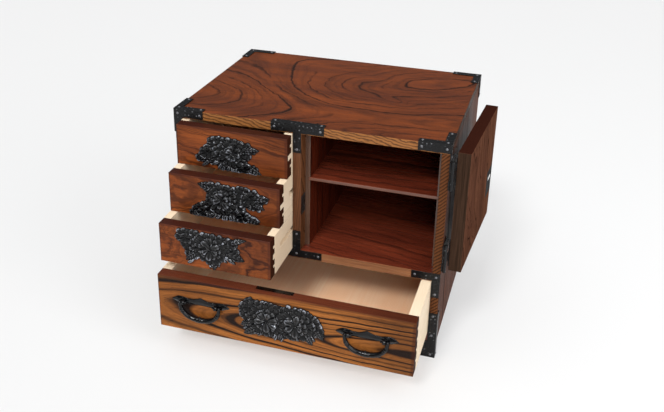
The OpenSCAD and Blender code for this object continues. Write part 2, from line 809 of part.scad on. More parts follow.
// Fingers of a corner joint between xa and xb, evenly spread over the drawer's
// height. They reach forward from y_back and run over behind it.
module fingers_of(xa, xb, y_back, over, z0, height, fingers, mid_len) {
    for (k = [1 : fingers]) {
        is_mid = 2 * k == fingers + 1;
        z_mid = z0 + height * k / (fingers + 1);
        half_h = (is_mid ? mid_finger_h : finger_h) / 2;
        box(xa, xb, y_back - (is_mid ? mid_len : finger_len), y_back + over, z_mid - half_h, z_mid + half_h);
    }
}

module drawer_front(x0, x1, z0, height, out, side_thick, fingers, mid_len) {
    y0 = front_y - out;
    difference() {
        box(x0, x1, y0, y0 + front_t, z0, z0 + height);
        fingers_of(x0 - cut, x0 + side_thick, y0 + front_t, cut, z0, height, fingers, mid_len);
        fingers_of(x1 - side_thick, x1 + cut, y0 + front_t, cut, z0, height, fingers, mid_len);
    }
}

// side is -1 for the left side and 1 for the right side; drop is how far it
// reaches below the drawer front
module drawer_side(x0, x1, z0, height, out, side_thick, fingers, mid_len, side, grooved, drop) {
    y0 = front_y - out;
    xa = side < 0 ? x0 : x1 - side_thick;
    color(PALE_WOOD) difference() {
        union() {
            box(xa, xa + side_thick, y0 + front_t, y0 + drawer_len, z0 - drop, z0 + height);
            fingers_of(xa, xa + side_thick, y0 + front_t, 0, z0, height, fingers, mid_len);
        }
        if (grooved) {
            xg = side < 0 ? x0 - cut : x1 - groove_depth;
            box(xg, xg + groove_depth + cut, y0 + groove_stop, y0 + drawer_len + cut,
                z0 + height - groove_drop - groove_h / 2, z0 + height - groove_drop + groove_h / 2);
        }
    }
}

module drawer_back(x0, x1, z0, height, out, side_thick) {
    y1 = front_y - out + drawer_len;
    color(PALE_WOOD) box(x0 + side_thick, x1 - side_thick, y1 - drawer_back_t, y1,
                         z0 + drawer_bottom_rise + drawer_bottom_t, z0 + height - drawer_back_drop);
}

module drawer_bottom(x0, x1, z0, out, side_thick) {
    y0 = front_y - out;
    color(PALE_WOOD) box(x0 + side_thick, x1 - side_thick, y0 + front_t, y0 + drawer_len,
                         z0 + drawer_bottom_rise, z0 + drawer_bottom_rise + drawer_bottom_t);
}

module small_front(row, out) {
    color(ZELKOVA) drawer_front(small_x0, small_x1, small_z(row), small_h, out, small_side_t,
                                small_fingers, mid_finger_lens[row - 1]);
}

module small_side(row, out, side) {
    drawer_side(small_x0, small_x1, small_z(row), small_h, out, small_side_t, small_fingers,
                mid_finger_lens[row - 1], side, true, 0);
}

module small_back(row, out) {
    drawer_back(small_x0, small_x1, small_z(row), small_h, out, small_side_t);
}

module small_bottom(row, out) {
    drawer_bottom(small_x0, small_x1, small_z(row), out, small_side_t);
}

module upper_drawer_front() {
    small_front(1, out_1);
}

module upper_drawer_left_side() {
    small_side(1, out_1, -1);
}

module upper_drawer_right_side() {
    small_side(1, out_1, 1);
}

module upper_drawer_back() {
    small_back(1, out_1);
}

module upper_drawer_bottom() {
    small_bottom(1, out_1);
}

module middle_drawer_front() {
    small_front(2, out_2);
}

module middle_drawer_left_side() {
    small_side(2, out_2, -1);
}

module middle_drawer_right_side() {
    small_side(2, out_2, 1);
}

module middle_drawer_back() {
    small_back(2, out_2);
}

module middle_drawer_bottom() {
    small_bottom(2, out_2);
}

module lower_drawer_front() {
    small_front(3, out_3);
}

module lower_drawer_left_side() {
    small_side(3, out_3, -1);
}

module lower_drawer_right_side() {
    small_side(3, out_3, 1);
}

module lower_drawer_back() {
    small_back(3, out_3);
}

module lower_drawer_bottom() {
    small_bottom(3, out_3);
}

// The large drawer's front has a bed for the lock's strip
module large_drawer_front() {
    color(ZELKOVA) difference() {
        drawer_front(large_x0, large_x1, large_z0, large_h, out_4, large_side_t, large_fingers, finger_len);
        box(strip_x - strip_w / 2, strip_x + strip_w / 2, large_face_y + front_t - strip_d,
            large_face_y + front_t + cut, large_z0 + large_h - strip_t, large_z0 + large_h + cut);
    }
}

module large_drawer_lock_strip() {
    z1 = large_z0 + large_h;
    color(IRON) box(strip_x - strip_w / 2, strip_x + strip_w / 2, large_face_y + front_t - strip_d,
                    large_face_y + front_t, z1 - strip_t, z1);
}

module large_side(side) {
    drawer_side(large_x0, large_x1, large_z0, large_h, out_4, large_side_t, large_fingers,
                finger_len, side, false, reveal - runner_play);
}

module large_drawer_left_side() {
    large_side(-1);
}

module large_drawer_right_side() {
    large_side(1);
}

module large_drawer_back() {
    drawer_back(large_x0, large_x1, large_z0, large_h, out_4, large_side_t);
}

module large_drawer_bottom() {
    drawer_bottom(large_x0, large_x1, large_z0, out_4, large_side_t);
}

// Peony ornaments

// Pointed shape along +X, the overlap of two circles
module pointed(length, width) {
    arc_r = (length * length + width * width) / (4 * width);
    translate([length / 2, 0]) intersection() {
        translate([0, arc_r - width / 2]) circle(arc_r, $fn = 96);
        translate([0, width / 2 - arc_r]) circle(arc_r, $fn = 96);
    }
}

// Leaf of three pointed lobes
module leaf_outline(length, width) {
    lobe_start = 0.2 * length;
    lobe_turn = 34;
    lobe_l = 0.55 * length;
    lobe_w = 0.6 * width;
    pointed(length, width);
    for (side = [-1, 1]) {
        translate([lobe_start, 0]) rotate(side * lobe_turn) pointed(lobe_l, lobe_w);
    }
}

// Round shape with a scalloped edge
module scalloped(radius, scallops) {
    lobe_r = 0.3 * radius;
    disc_r = 0.82 * radius;
    circle(disc_r);
    for (k = [1 : scallops]) {
        rotate(k * 360 / scallops) translate([radius - lobe_r, 0]) circle(lobe_r);
    }
}

// Spray in layers, in the plane of the drawer front. Each leaf has a raised
// middle, and each blossom three rings of petals given as shares of its radius.
module spray_relief(blossoms, leaves) {
    crown_l = 0.86;
    crown_w = 0.6;
    ring_turn = 20;
    rings = [0.9, 0.64, 0.34];
    linear_extrude(orn_plate_t) {
        for (b = blossoms) translate([b[0], b[1]]) scalloped(b[2], petal_count);
        for (l = leaves) translate([l[0], l[1]]) rotate(l[2]) leaf_outline(l[3], l[4]);
    }
    linear_extrude(orn_plate_t + orn_layer_t) {
        for (l = leaves) translate([l[0], l[1]]) rotate(l[2]) pointed(l[3] * crown_l, l[4] * crown_w);
    }
    for (b = blossoms) translate([b[0], b[1], 0]) {
        linear_extrude(orn_plate_t + orn_layer_t) scalloped(b[2] * rings[0], petal_count);
        linear_extrude(orn_plate_t + 2 * orn_layer_t) rotate(ring_turn)
            scalloped(b[2] * rings[1], petal_count);
        linear_extrude(orn_plate_t + 3 * orn_layer_t) scalloped(b[2] * rings[2], petal_count);
    }
}

// Spray on a front, cut off at the front's edges
module ornament(x_mid, z_mid, half_h, face_y, blossoms, leaves) {
    limit = half_h - orn_edge_gap;
    height = orn_plate_t + 4 * orn_layer_t;
    color(IRON) translate([x_mid, face_y, z_mid]) rotate([90, 0, 0]) intersection() {
        spray_relief(blossoms, leaves);
        translate([-body_w, -limit, -cut]) cube([2 * body_w, 2 * limit, height + cut]);
    }
}

module small_ornament(row, out, blossoms, leaves) {
    ornament((small_x0 + small_x1) / 2, small_z(row) + small_h / 2, small_h / 2, front_y - out,
             blossoms, leaves);
}

module upper_drawer_ornament() {
    small_ornament(1, out_1, upper_blossoms, upper_leaves);
}

module middle_drawer_ornament() {
    small_ornament(2, out_2, middle_blossoms, middle_leaves);
}

module lower_drawer_ornament() {
    small_ornament(3, out_3, lower_blossoms, lower_leaves);
}

module large_drawer_ornament() {
    ornament(0, large_z0 + large_h / 2, large_h / 2, large_face_y, large_blossoms, large_leaves);
}

// Handles of the large drawer

// Long plate with a hump in the middle and pointed wings
module handle_plate_outline() {
    for (side = [-1, 1]) {
        rotate(90 - side * 90) pointed(handle_plate_w / 2, 2 * plate_seat_r);
        translate([side * post_span / 2, 0]) circle(plate_seat_r);
        translate([side * post_span / 4, 0]) circle(plate_seat_r);
    }
    translate([0, plate_hump_r - plate_seat_r]) circle(plate_hump_r);
}

module handle_plates() {
    color(IRON) for (side = [-1, 1]) {
        translate([side * handle_x, large_face_y, handle_z]) rotate([90, 0, 0])
            linear_extrude(handle_plate_t) handle_plate_outline();
    }
}

// Eye that a bail's pin turns in, with its stem to the plate
module post() {
    stem_h = 1.4 * post_r;
    difference() {
        union() {
            translate([-post_w / 2, 0, 0]) rotate([0, 90, 0]) cylinder(r = post_r, h = post_w);
            translate([-post_w / 2, 0, -stem_h / 2]) cube([post_w, bail_fwd - handle_plate_t, stem_h]);
        }
        translate([-post_w, 0, 0]) rotate([0, 90, 0]) cylinder(r = bail_pin_r + bail_play, h = 2 * post_w);
    }
}

module handle_posts() {
    color(IRON) for (side = [-1, 1], end = [-1, 1]) {
        translate([side * handle_x + end * post_span / 2, bail_y, handle_z]) post();
    }
}

module bail() {
    pin_in = post_span / 2 - post_w / 2 - pin_stub;
    color(IRON) {
        polyhedron(bail_points, bail_faces);
        for (side = [-1, 1]) {
            translate([side * bail_half, 0, 0]) sphere(bail_ball_r);
            translate([side > 0 ? pin_in : -bail_half, 0, 0]) rotate([0, 90, 0])
                cylinder(r = bail_pin_r, h = bail_half - pin_in);
        }
        translate([-bead_w / 2, 0, -bail_drop]) rotate([0, 90, 0]) cylinder(r = bead_r, h = bead_w);
    }
}

module left_bail() {
    translate([-handle_x, bail_y, handle_z]) bail();
}

module right_bail() {
    translate([handle_x, bail_y, handle_z]) bail();
}

top_panel();
left_side_panel();
right_side_panel();
bottom_panel();
middle_panel();
divider();
back_panel();
left_liner();
right_liner();
shelf();
drawer_runners();
front_apron();
rear_apron();
front_corner_irons();
rear_corner_irons();
top_tee_iron();
divider_foot_iron();
rail_end_irons();
foot_irons();
case_nails();
hinge_side_leaves();
hinge_pins();
strike_plate();
door_panel();
hinge_door_leaves();
door_escutcheon();
door_lock_case();
door_nails();
door_lock_bolt();
upper_drawer_front();
upper_drawer_left_side();
upper_drawer_right_side();
upper_drawer_back();
upper_drawer_bottom();
upper_drawer_ornament();
middle_drawer_front();
middle_drawer_left_side();
middle_drawer_right_side();
middle_drawer_back();
middle_drawer_bottom();
middle_drawer_ornament();
lower_drawer_front();
lower_drawer_left_side();
lower_drawer_right_side();
lower_drawer_back();
lower_drawer_bottom();
lower_drawer_ornament();
large_drawer_front();
large_drawer_left_side();
large_drawer_right_side();
large_drawer_back();
large_drawer_bottom();
large_drawer_ornament();
large_drawer_lock_strip();
handle_plates();
handle_posts();
left_bail();
right_bail();
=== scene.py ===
"""Tansu chest: finishes, ironwork relief, floor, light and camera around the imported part."""

import math

import bpy
import numpy as np
from mathutils import Matrix, Vector


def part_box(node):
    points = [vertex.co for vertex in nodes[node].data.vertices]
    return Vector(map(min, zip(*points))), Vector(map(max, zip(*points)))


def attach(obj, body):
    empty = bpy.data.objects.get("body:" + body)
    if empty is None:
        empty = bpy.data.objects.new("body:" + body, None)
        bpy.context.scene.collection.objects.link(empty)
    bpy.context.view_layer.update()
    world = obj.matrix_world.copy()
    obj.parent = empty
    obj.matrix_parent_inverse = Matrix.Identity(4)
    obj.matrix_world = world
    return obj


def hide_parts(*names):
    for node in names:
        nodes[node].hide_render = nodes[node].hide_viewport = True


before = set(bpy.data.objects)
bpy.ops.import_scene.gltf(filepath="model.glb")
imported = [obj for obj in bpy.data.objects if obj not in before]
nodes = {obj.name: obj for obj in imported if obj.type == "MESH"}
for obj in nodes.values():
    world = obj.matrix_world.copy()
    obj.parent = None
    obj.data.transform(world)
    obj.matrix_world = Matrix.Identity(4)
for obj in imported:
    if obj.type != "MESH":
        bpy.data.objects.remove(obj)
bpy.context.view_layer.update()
MM = 0.001


# Node trees

def srgb(red, green, blue):
    """A colour given as it shows on a screen, 0 to 255, as a linear colour."""
    out = []
    for value in (red, green, blue):
        value /= 255
        out.append(value / 12.92 if value <= 0.04045 else ((value + 0.055) / 1.055) ** 2.4)
    return (*out, 1)


class Tree:
    """A material's node tree with one call per node."""

    def __init__(self, name):
        self.material = bpy.data.materials.new(name)
        self.material.use_nodes = True
        self.tree = self.material.node_tree
        self.tree.nodes.clear()

    def add(self, kind, inputs=None, **settings):
        made = self.tree.nodes.new("ShaderNode" + kind)
        for key, value in settings.items():
            setattr(made, key, value)
        for key, value in (inputs or {}).items():
            self.plug(made.inputs[key], value)
        return made

    def plug(self, socket, value):
        """Links a node's output. Anything else is the same all over and is set on the socket."""
        if isinstance(value, bpy.types.NodeSocket):
            self.tree.links.new(value, socket)
        else:
            socket.default_value = value

    def place(self):
        return self.add("TexCoord").outputs["Object"]

    def facing(self):
        return self.add("TexCoord").outputs["Normal"]

    def parts(self, vector):
        return self.add("SeparateXYZ", {0: vector}).outputs

    def math(self, operation, first, second=0.0, third=0.0):
        return self.add("Math", {0: first, 1: second, 2: third}, operation=operation).outputs[0]

    def times(self, first, second):
        return self.math("MULTIPLY", first, second)

    def vector(self, operation, *inputs):
        """Vector arithmetic. A length or a dot product comes back as a number."""
        made = self.add("VectorMath", dict(enumerate(inputs)), operation=operation)
        return made.outputs["Value" if operation in ("LENGTH", "DOT_PRODUCT") else "Vector"]

    def stretched(self, vector, scale):
        return self.vector("MULTIPLY", vector, scale)

    def smooth(self, value, low, high):
        """0 at low, 1 at high, and a soft step between them. low may be the larger one."""
        made = self.add("MapRange", {"Value": value, "From Min": low, "From Max": high},
                        interpolation_type="SMOOTHSTEP")
        return made.outputs[0]

    def noise(self, vector, scale, detail=2.0, roughness=0.5):
        return self.add("TexNoise", {"Vector": vector, "Scale": scale, "Detail": detail,
                                     "Roughness": roughness})

    def grain(self, vector, along, across, detail, roughness, low, high):
        """Streaks from 0 to 1. along and across are how many of them there are per metre."""
        streaks = self.noise(self.stretched(vector, (along, across, across)), 1.0, detail, roughness)
        return self.smooth(streaks.outputs[0], low, high)

    def blend(self, share, first, second):
        made = self.add("Mix", data_type="RGBA")
        self.plug(made.inputs[0], share)
        self.plug(made.inputs[6], first)
        self.plug(made.inputs[7], second)
        return made.outputs[2]

    def hills(self, place, level, bumps):
        """A smooth landscape over the plane of the first two axes. Each bump is a centre, how far
        it reaches along and across, its turn and its height, in millimetres and degrees."""
        for x, y, along, across, turn, height in bumps:
            near = self.add("Mapping", {"Vector": place, "Location": (x * MM, y * MM, 0),
                                        "Rotation": (0, 0, math.radians(turn)),
                                        "Scale": (along * MM, across * MM, 1000)},
                            vector_type="TEXTURE").outputs[0]
            far = self.vector("DOT_PRODUCT", near, near)
            level = self.math("MULTIPLY_ADD", self.math("POWER", math.exp(-1), far), height, level)
        return level

    def bump(self, height, distance, strength, normal=None):
        made = self.add("Bump", {"Height": height, "Distance": distance, "Strength": strength})
        if normal is not None:
            self.plug(made.inputs["Normal"], normal)
        return made.outputs[0]

    def surface(self, colour, roughness, normal, **more):
        """The shader itself. more names its other sockets, with _ for a space."""
        shader = self.add("BsdfPrincipled", {"Base Color": colour, "Roughness": roughness,
                                             "Normal": normal})
        for key, value in more.items():
            self.plug(shader.inputs[key.replace("_", " ")], value)
        output = self.add("OutputMaterial")
        self.tree.links.new(shader.outputs[0], output.inputs[0])
        return self.material


# Wood

# What turns each direction of the grain onto x, and the axis and sign that each side faces
TURN = {"x": (0, 0, 0), "y": (0, 0, -math.pi / 2), "z": (0, math.pi / 2, 0)}
SIDES = {"front": (1, -1), "top": (2, 1), "right": (0, 1), "left": (0, -1)}
RIM_TONE = srgb(62, 26, 17)
SIDEWAYS_SPECULAR = 0.004


def bend(t, log, lean, drifts):
    """Lets the rings lean along the log and wander. Each drift says how far they wander, and
    how often per metre along and across."""
    run = t.parts(log)[0]
    shift = t.add("CombineXYZ", {1: t.times(run, lean[0]), 2: t.times(run, lean[1])}).outputs[0]
    bent = t.vector("ADD", log, shift)
    for far, along, across in drifts:
        drift = t.noise(t.stretched(log, (along, across, across)), 1.0, 3.5, 0.55)
        offset = t.vector("SUBTRACT", drift.outputs["Color"], (0.5, 0.5, 0.5))
        bent = t.vector("ADD", bent, t.stretched(offset, (far, far, far)))
    return bent


def ring_count(t, bent, ring):
    """How many rings lie between a point and the log's middle. Their width is uneven."""
    depth = t.vector("LENGTH", t.stretched(bent, (0, 1, 1)))
    count = t.math("DIVIDE", depth, ring)
    uneven = t.add("TexNoise", {"W": count, "Scale": 0.45, "Detail": 1.0}, noise_dimensions="1D")
    return t.math("MULTIPLY_ADD", uneven.outputs[0], 2.2, count)


def late_wood(t, count, thin):
    """The dark line that ends each ring, some fainter than others, and the shade before it."""
    phase = t.math("FRACT", count)
    each = t.add("TexWhiteNoise", {"W": t.math("FLOOR", count)}, noise_dimensions="1D")
    strength = t.math("MULTIPLY_ADD", each.outputs["Value"], 0.5, 0.5)
    edge = t.smooth(phase, 1.0, 1 - 0.3 * thin)
    core = t.times(t.smooth(phase, 1 - thin, 1 - 0.4 * thin), edge)
    shade = t.times(t.math("POWER", phase, 2.5), edge)
    return t.math("MULTIPLY_ADD", core, strength, t.times(shade, 0.12)), shade


def half_lines(t, log, count, thin, strength):
    """Finer lines midway between the dark ones, in some places only."""
    phase = t.math("FRACT", t.math("ADD", count, 0.5))
    line = t.times(t.smooth(phase, 1 - thin, 1 - 0.3 * thin), t.smooth(phase, 1.0, 1 - 0.2 * thin))
    patchy = t.grain(log, 9, 14, 2.0, 0.5, 0.4, 0.6)
    return t.times(line, t.times(patchy, strength))


def cut_faces(t, colour, threads, bent, faces, stripes):
    """Colours the edges that are cut another way. A striped front shows slanting lines."""
    normal = t.parts(t.facing())
    for side, (light, dark) in faces.items():
        axis, sign = SIDES[side]
        share = threads
        if stripes is not None and side == "front":
            spot = t.parts(bent)
            count = t.math("MULTIPLY_ADD", spot[2], stripes[1], t.times(spot[0], stripes[0]))
            phase = t.math("FRACT", count)
            share = t.times(t.smooth(phase, 0.35, 0.85), t.smooth(phase, 1.0, 0.9))
            share = t.math("MULTIPLY_ADD", threads, 0.2, t.times(share, 0.8))
        here = t.smooth(t.times(normal[axis], sign), 0.8, 0.95)
        colour = t.blend(here, colour, t.blend(share, light, dark))
    return colour


def darker_rim(t, colour, place, box, dark, right_end_shade):
    """Darkens the upper and side edges of a front that fills a box, and paints shade over its right end."""
    low, high = box
    spot = t.parts(place)
    top = t.smooth(spot[2], high.z - 5 * MM, high.z - 2 * MM)
    right = t.smooth(spot[0], high.x - 7 * MM, high.x - 3 * MM)
    left = t.smooth(spot[0], low.x + 3 * MM, low.x + 1 * MM)
    margin = t.math("MAXIMUM", t.math("MAXIMUM", top, right), left)
    colour = t.blend(t.times(margin, 0.55), colour, RIM_TONE)
    # Painted shade: the front grows darker toward its right end.
    painted_right_shade = t.smooth(spot[0], high.x - 120 * MM, high.x - 10 * MM)
    return t.blend(t.times(painted_right_shade, right_end_shade), colour, dark)


def wood(name, along, core, lean, ring, swirl, kink, tones, line=1.0, streak=1.0, pores=1.0,
         roughness=0.34, specular=0.2, faces=None, stripes=None, level=0.0, bumps=None, upright=False,
         thin=0.22, rim=None, right_end_shade=0.34, halves=0.0):
    """Sawn board. along is the direction of the grain, core the place of the log's middle in a
    space where the grain runs along x, and lean how far the log's middle leaves the board per
    metre of length. ring is the width of a growth ring; swirl and kink say how far the rings
    wander, and how often. tones are the light, middle and dark colour. line, streak and pores
    are the strength of the dark lines, the fine grain and the short dark pores. thin is the share
    of a ring that its dark line takes, and halves the strength of finer lines between them.
    faces gives a light and a dark colour for an edge that is cut another way, and stripes the
    number of slanting growth lines on it, per metre along and up. With bumps the dark lines are
    the contours of a landscape that starts at level, instead of a log's rings; upright has it on
    the front. rim is a box whose upper and side edges have a darker margin, and right_end_shade says
    how much painted shade darkens its right end."""
    t = Tree(name)
    place = t.place()
    log = t.add("Mapping", {"Vector": place, "Rotation": TURN[along], "Location": core}).outputs[0]
    bent = bend(t, log, lean, (swirl, kink))
    if bumps is None:
        count = ring_count(t, bent, ring)
    else:
        if upright:
            bent = t.add("Mapping", {"Vector": bent, "Rotation": (-math.pi / 2, 0, 0)}).outputs[0]
        count = t.hills(bent, level, bumps)
    vein, shade = late_wood(t, count, thin)
    vein = t.times(vein, line)
    if halves:
        vein = t.math("MAXIMUM", vein, half_lines(t, log, count, thin, halves))
    fine = t.add("CombineXYZ", {0: t.times(count, 6.0 if bumps else 3.0),
                                1: t.times(t.parts(log)[0], 9.0)})
    fine = t.smooth(t.noise(fine.outputs[0], 1.0, 3.0, 0.6).outputs[0], 0.42, 0.66)
    threads = t.grain(log, 14, 620, 3.0, 0.65, 0.32, 0.72)
    bands = t.grain(bent, 5, 170, 2.0, 0.6, 0.35, 0.7)
    patches = t.grain(log, 3, 16, 3.0, 0.55, 0.3, 0.7)
    dashes = t.grain(log, 85, 1500, 1.0, 0.5, 0.6, 0.72)
    dashes = t.times(dashes, t.math("MULTIPLY_ADD", shade, 0.7, 0.3))
    light, middle, dark = tones
    colour = t.blend(patches, middle, light)
    for share, tone in ((t.times(bands, 0.2 * streak), dark),
                        (t.times(threads, 0.38 * streak), middle),
                        (t.times(t.math("SUBTRACT", 1.0, threads), 0.16 * streak), dark),
                        (t.times(fine, 0.36 * streak), dark),
                        (vein, dark),
                        (t.times(dashes, 0.55 * pores), dark)):
        colour = t.blend(share, colour, tone)
    colour = cut_faces(t, colour, threads, bent, faces or {}, stripes)
    if rim is not None:
        colour = darker_rim(t, colour, place, rim, dark, right_end_shade)
    rough = t.math("MULTIPLY_ADD", patches, 0.08, roughness - 0.04)
    rough = t.math("MULTIPLY_ADD", vein, 0.12, rough)
    relief = t.math("MULTIPLY_ADD", threads, 0.35, t.times(dashes, -1.0))
    relief = t.math("MULTIPLY_ADD", vein, -0.6, relief)
    relief = t.bump(relief, 0.12 * MM, 0.5 * pores)
    sideways = t.smooth(t.math("ABSOLUTE", t.parts(t.facing())[0]), 0.5, 0.9)
    duller = min(SIDEWAYS_SPECULAR, specular) - specular
    shine = t.math("MULTIPLY_ADD", sideways, duller, specular)
    return t.surface(colour, rough, relief, Specular_IOR_Level=shine)


def pale_wood(name, along, tones, ring=1.6 * MM, line_share=0.55, silk=(10, 700)):
    """Straight-grained, unfinished drawer wood. silk is how many silky streaks it has per metre,
    along and across."""
    t = Tree(name)
    log = t.add("Mapping", {"Vector": t.place(), "Rotation": TURN[along]}).outputs[0]
    drift = t.noise(t.stretched(log, (2.2, 14, 14)), 1.0, 2.0, 0.5).outputs[0]
    spot = t.parts(log)
    depth = t.math("ADD", spot[1], t.times(spot[2], 0.55))
    count = t.math("DIVIDE", t.math("MULTIPLY_ADD", drift, 30 * MM, depth), ring)
    phase = t.math("FRACT", count)
    line = t.times(t.math("POWER", phase, 2.5), t.smooth(phase, 1.0, 0.9))
    sheen = t.grain(log, *silk, 3.0, 0.7, 0.3, 0.7)
    patches = t.grain(log, 4, 12, 3.0, 0.6, 0.3, 0.7)
    light, middle, dark = tones
    colour = t.blend(patches, middle, light)
    colour = t.blend(t.times(sheen, 0.7), colour, middle)
    colour = t.blend(t.times(line, line_share), colour, dark)
    relief = t.bump(t.math("MULTIPLY_ADD", line, -0.6, sheen), 0.15 * MM, 0.45)
    rough = t.math("MULTIPLY_ADD", sheen, 0.12, 0.56)
    return t.surface(colour, rough, relief, Specular_IOR_Level=0.25)


RED_TONES = (srgb(140, 69, 28), srgb(100, 46, 19), srgb(28, 13, 7))
SIDE_TONES = (srgb(104, 60, 40), srgb(80, 45, 31), srgb(34, 17, 11))
DOOR_TONES = (srgb(108, 70, 52), srgb(85, 54, 41), srgb(38, 23, 17))
FRONT_TONES = (srgb(168, 90, 37), srgb(121, 59, 25), srgb(40, 17, 9))
LARGE_FRONT_TONES = (srgb(174, 107, 49), srgb(132, 77, 33), srgb(24, 12, 7))
INNER_TONES = (srgb(110, 44, 24), srgb(80, 29, 16), srgb(30, 11, 8))
LIT_TONES = (srgb(138, 60, 36), srgb(98, 40, 25), srgb(30, 12, 9))
DIVIDER_TONES = (srgb(124, 78, 46), srgb(92, 55, 34), srgb(42, 24, 15))
PALE_TONES = (srgb(240, 223, 198), srgb(228, 207, 178), srgb(200, 172, 140))
BOTTOM_TONES = (srgb(255, 222, 188), srgb(248, 198, 156), srgb(206, 156, 118))
END_GRAIN = (srgb(66, 44, 30), srgb(44, 28, 20))
END_FACES = {"right": END_GRAIN, "left": END_GRAIN}
TOP_EDGE = (srgb(56, 27, 19), srgb(34, 16, 11))
LARGE_TOP_EDGE = (srgb(122, 62, 38), srgb(86, 43, 27))
DOOR_EDGE = (srgb(60, 43, 33), srgb(38, 27, 20))
RAIL_EDGE = (srgb(148, 101, 68), srgb(112, 71, 48))
LINING_EDGE = (srgb(86, 62, 48), srgb(68, 46, 36))
SHELF_EDGE = (srgb(104, 66, 50), srgb(80, 48, 36))
GOLDEN = (srgb(142, 92, 48), srgb(62, 34, 17))
STRIPED = (srgb(94, 57, 34), srgb(28, 15, 9))
SWIRL = (20 * MM, 1.2, 5)
KINK = (6 * MM, 22, 40)
LACQUERED = {"roughness": 0.26, "specular": 0.5}
AT_MIDDLE = {"core": (0, 0, 0), "lean": (0, 0), "ring": 1.0}

top_wood = wood(
    "top_wood", "x", **AT_MIDDLE, swirl=(22 * MM, 12, 16), kink=(10 * MM, 60, 90), tones=RED_TONES,
    line=0.95, thin=0.09, halves=0.75, pores=2.2, streak=1.35, specular=0.17,
    faces={"front": GOLDEN, **END_FACES}, stripes=(30, 170), level=3.62,
    bumps=((-300, -80, 270, 112, -4, -2.7), (170, 100, 250, 105, 27, 3.6), (60, 95, 30, 30, 0, -0.55),
           (-75, 130, 60, 50, 0, 0.5), (240, -172, 235, 38, 0, 1.9), (113, -18, 34, 14, -20, 1.0)))
side_wood = wood("side_wood", "z", (0.02, 0.31, 0.9), (0.1, 0), 6.5 * MM, (50 * MM, 1.6, 6), KINK,
                 SIDE_TONES, specular=0.015, faces={"front": STRIPED}, stripes=(150, 130))
door_wood = wood("door_wood", "z", (0.4, 0.13, 0.5), (0.1, 0.1), 8 * MM, (60 * MM, 2.2, 8), KINK,
                 DOOR_TONES, specular=0.0, faces={"front": DOOR_EDGE, "top": TOP_EDGE})
inner_wood = wood("inner_wood", "x", (0.5, 0.2, 0.5), (0, 0), 7 * MM, SWIRL, KINK, INNER_TONES,
                  line=0.7, **LACQUERED)
rail_wood = wood("rail_wood", "x", (0.9, 0.4, 0.3), (0, 0.1), 6 * MM, SWIRL, KINK, LIT_TONES,
                 line=0.6, faces={"front": RAIL_EDGE}, **LACQUERED)
divider_wood = wood("divider_wood", "z", (0.9, 0.3, 0.62), (0, 0.1), 6 * MM, SWIRL, KINK,
                    DIVIDER_TONES)
lining_wood = wood("lining_wood", "z", (0.2, 0.3, 0.5), (0, 0), 7 * MM, SWIRL, KINK, INNER_TONES,
                   line=0.7, faces={"front": LINING_EDGE}, **LACQUERED)
shelf_wood = wood("shelf_wood", "x", (0.7, 0.3, 0.4), (0, 0), 7 * MM, SWIRL, KINK, LIT_TONES,
                  line=0.7, faces={"front": SHELF_EDGE}, **LACQUERED)
back_wood = wood("back_wood", "x", (1.5, 0.8, 0.2), (0, 0), 8 * MM, SWIRL, KINK, INNER_TONES,
                 line=0.6)

FRONT_CORES = {"upper": (0.2, 0.35, -0.31), "middle": (1.1, 0.42, -0.31), "lower": (2.3, 0.5, -0.25)}
front_wood = {}
for size, core in FRONT_CORES.items():
    front_wood[size] = wood(
        size + "_front_wood", "x", core, (0.05, 0.02), 5 * MM, (12 * MM, 1.2, 4), KINK, FRONT_TONES,
        line=0.75, streak=2.1, specular=0.12, faces={"top": TOP_EDGE, **END_FACES},
        rim=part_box(size + "_drawer_front"))
low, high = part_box("large_drawer_front")
figure_z = (low.z + high.z) / 2 / MM - 11
front_wood["large"] = wood(
    "large_front_wood", "x", **AT_MIDDLE, swirl=(12 * MM, 5, 14), kink=(3 * MM, 26, 70),
    tones=LARGE_FRONT_TONES, line=1.2, thin=0.5, pores=2.4, streak=1.3, specular=0.1,
    faces={"top": LARGE_TOP_EDGE, **END_FACES}, rim=(low, high), right_end_shade=0.4, upright=True, level=0.3,
    bumps=((250, figure_z, 430, 44, 0, 6.6), (-190, 118, 70, 16, 10, 0.6)))

pale_side = pale_wood("pale_side", "y", PALE_TONES)
pale_bottom = pale_wood("pale_bottom", "y", BOTTOM_TONES, ring=2.1 * MM, line_share=0.3, silk=(2, 230))
pale_back = pale_wood("pale_back", "x", PALE_TONES)


# Metal

GRIT_TONE = srgb(12, 11, 12)
# Light tone of the chased beads: a painted glint on each.
BEAD_GLINT_TONE = srgb(150, 152, 156)


def chased_beads(t, place, per_metre=140):
    """Small beads on a wandering grid, in some places only."""
    wander = t.stretched(t.noise(place, 90.0).outputs["Color"], (4 * MM, 4 * MM, 4 * MM))
    near = t.stretched(t.vector("ADD", place, wander), (per_metre, per_metre, per_metre))
    near = t.vector("SUBTRACT", t.vector("FRACTION", near), (0.5, 0.5, 0.5))
    in_plane = t.vector("SUBTRACT", (1, 1, 1), t.vector("ABSOLUTE", t.facing()))
    far = t.vector("DOT_PRODUCT", t.vector("MULTIPLY", near, near), in_plane)
    sparse = t.smooth(t.noise(place, 130.0).outputs[0], 0.5, 0.62)
    return t.times(t.smooth(far, 0.06, 0.01), sparse)


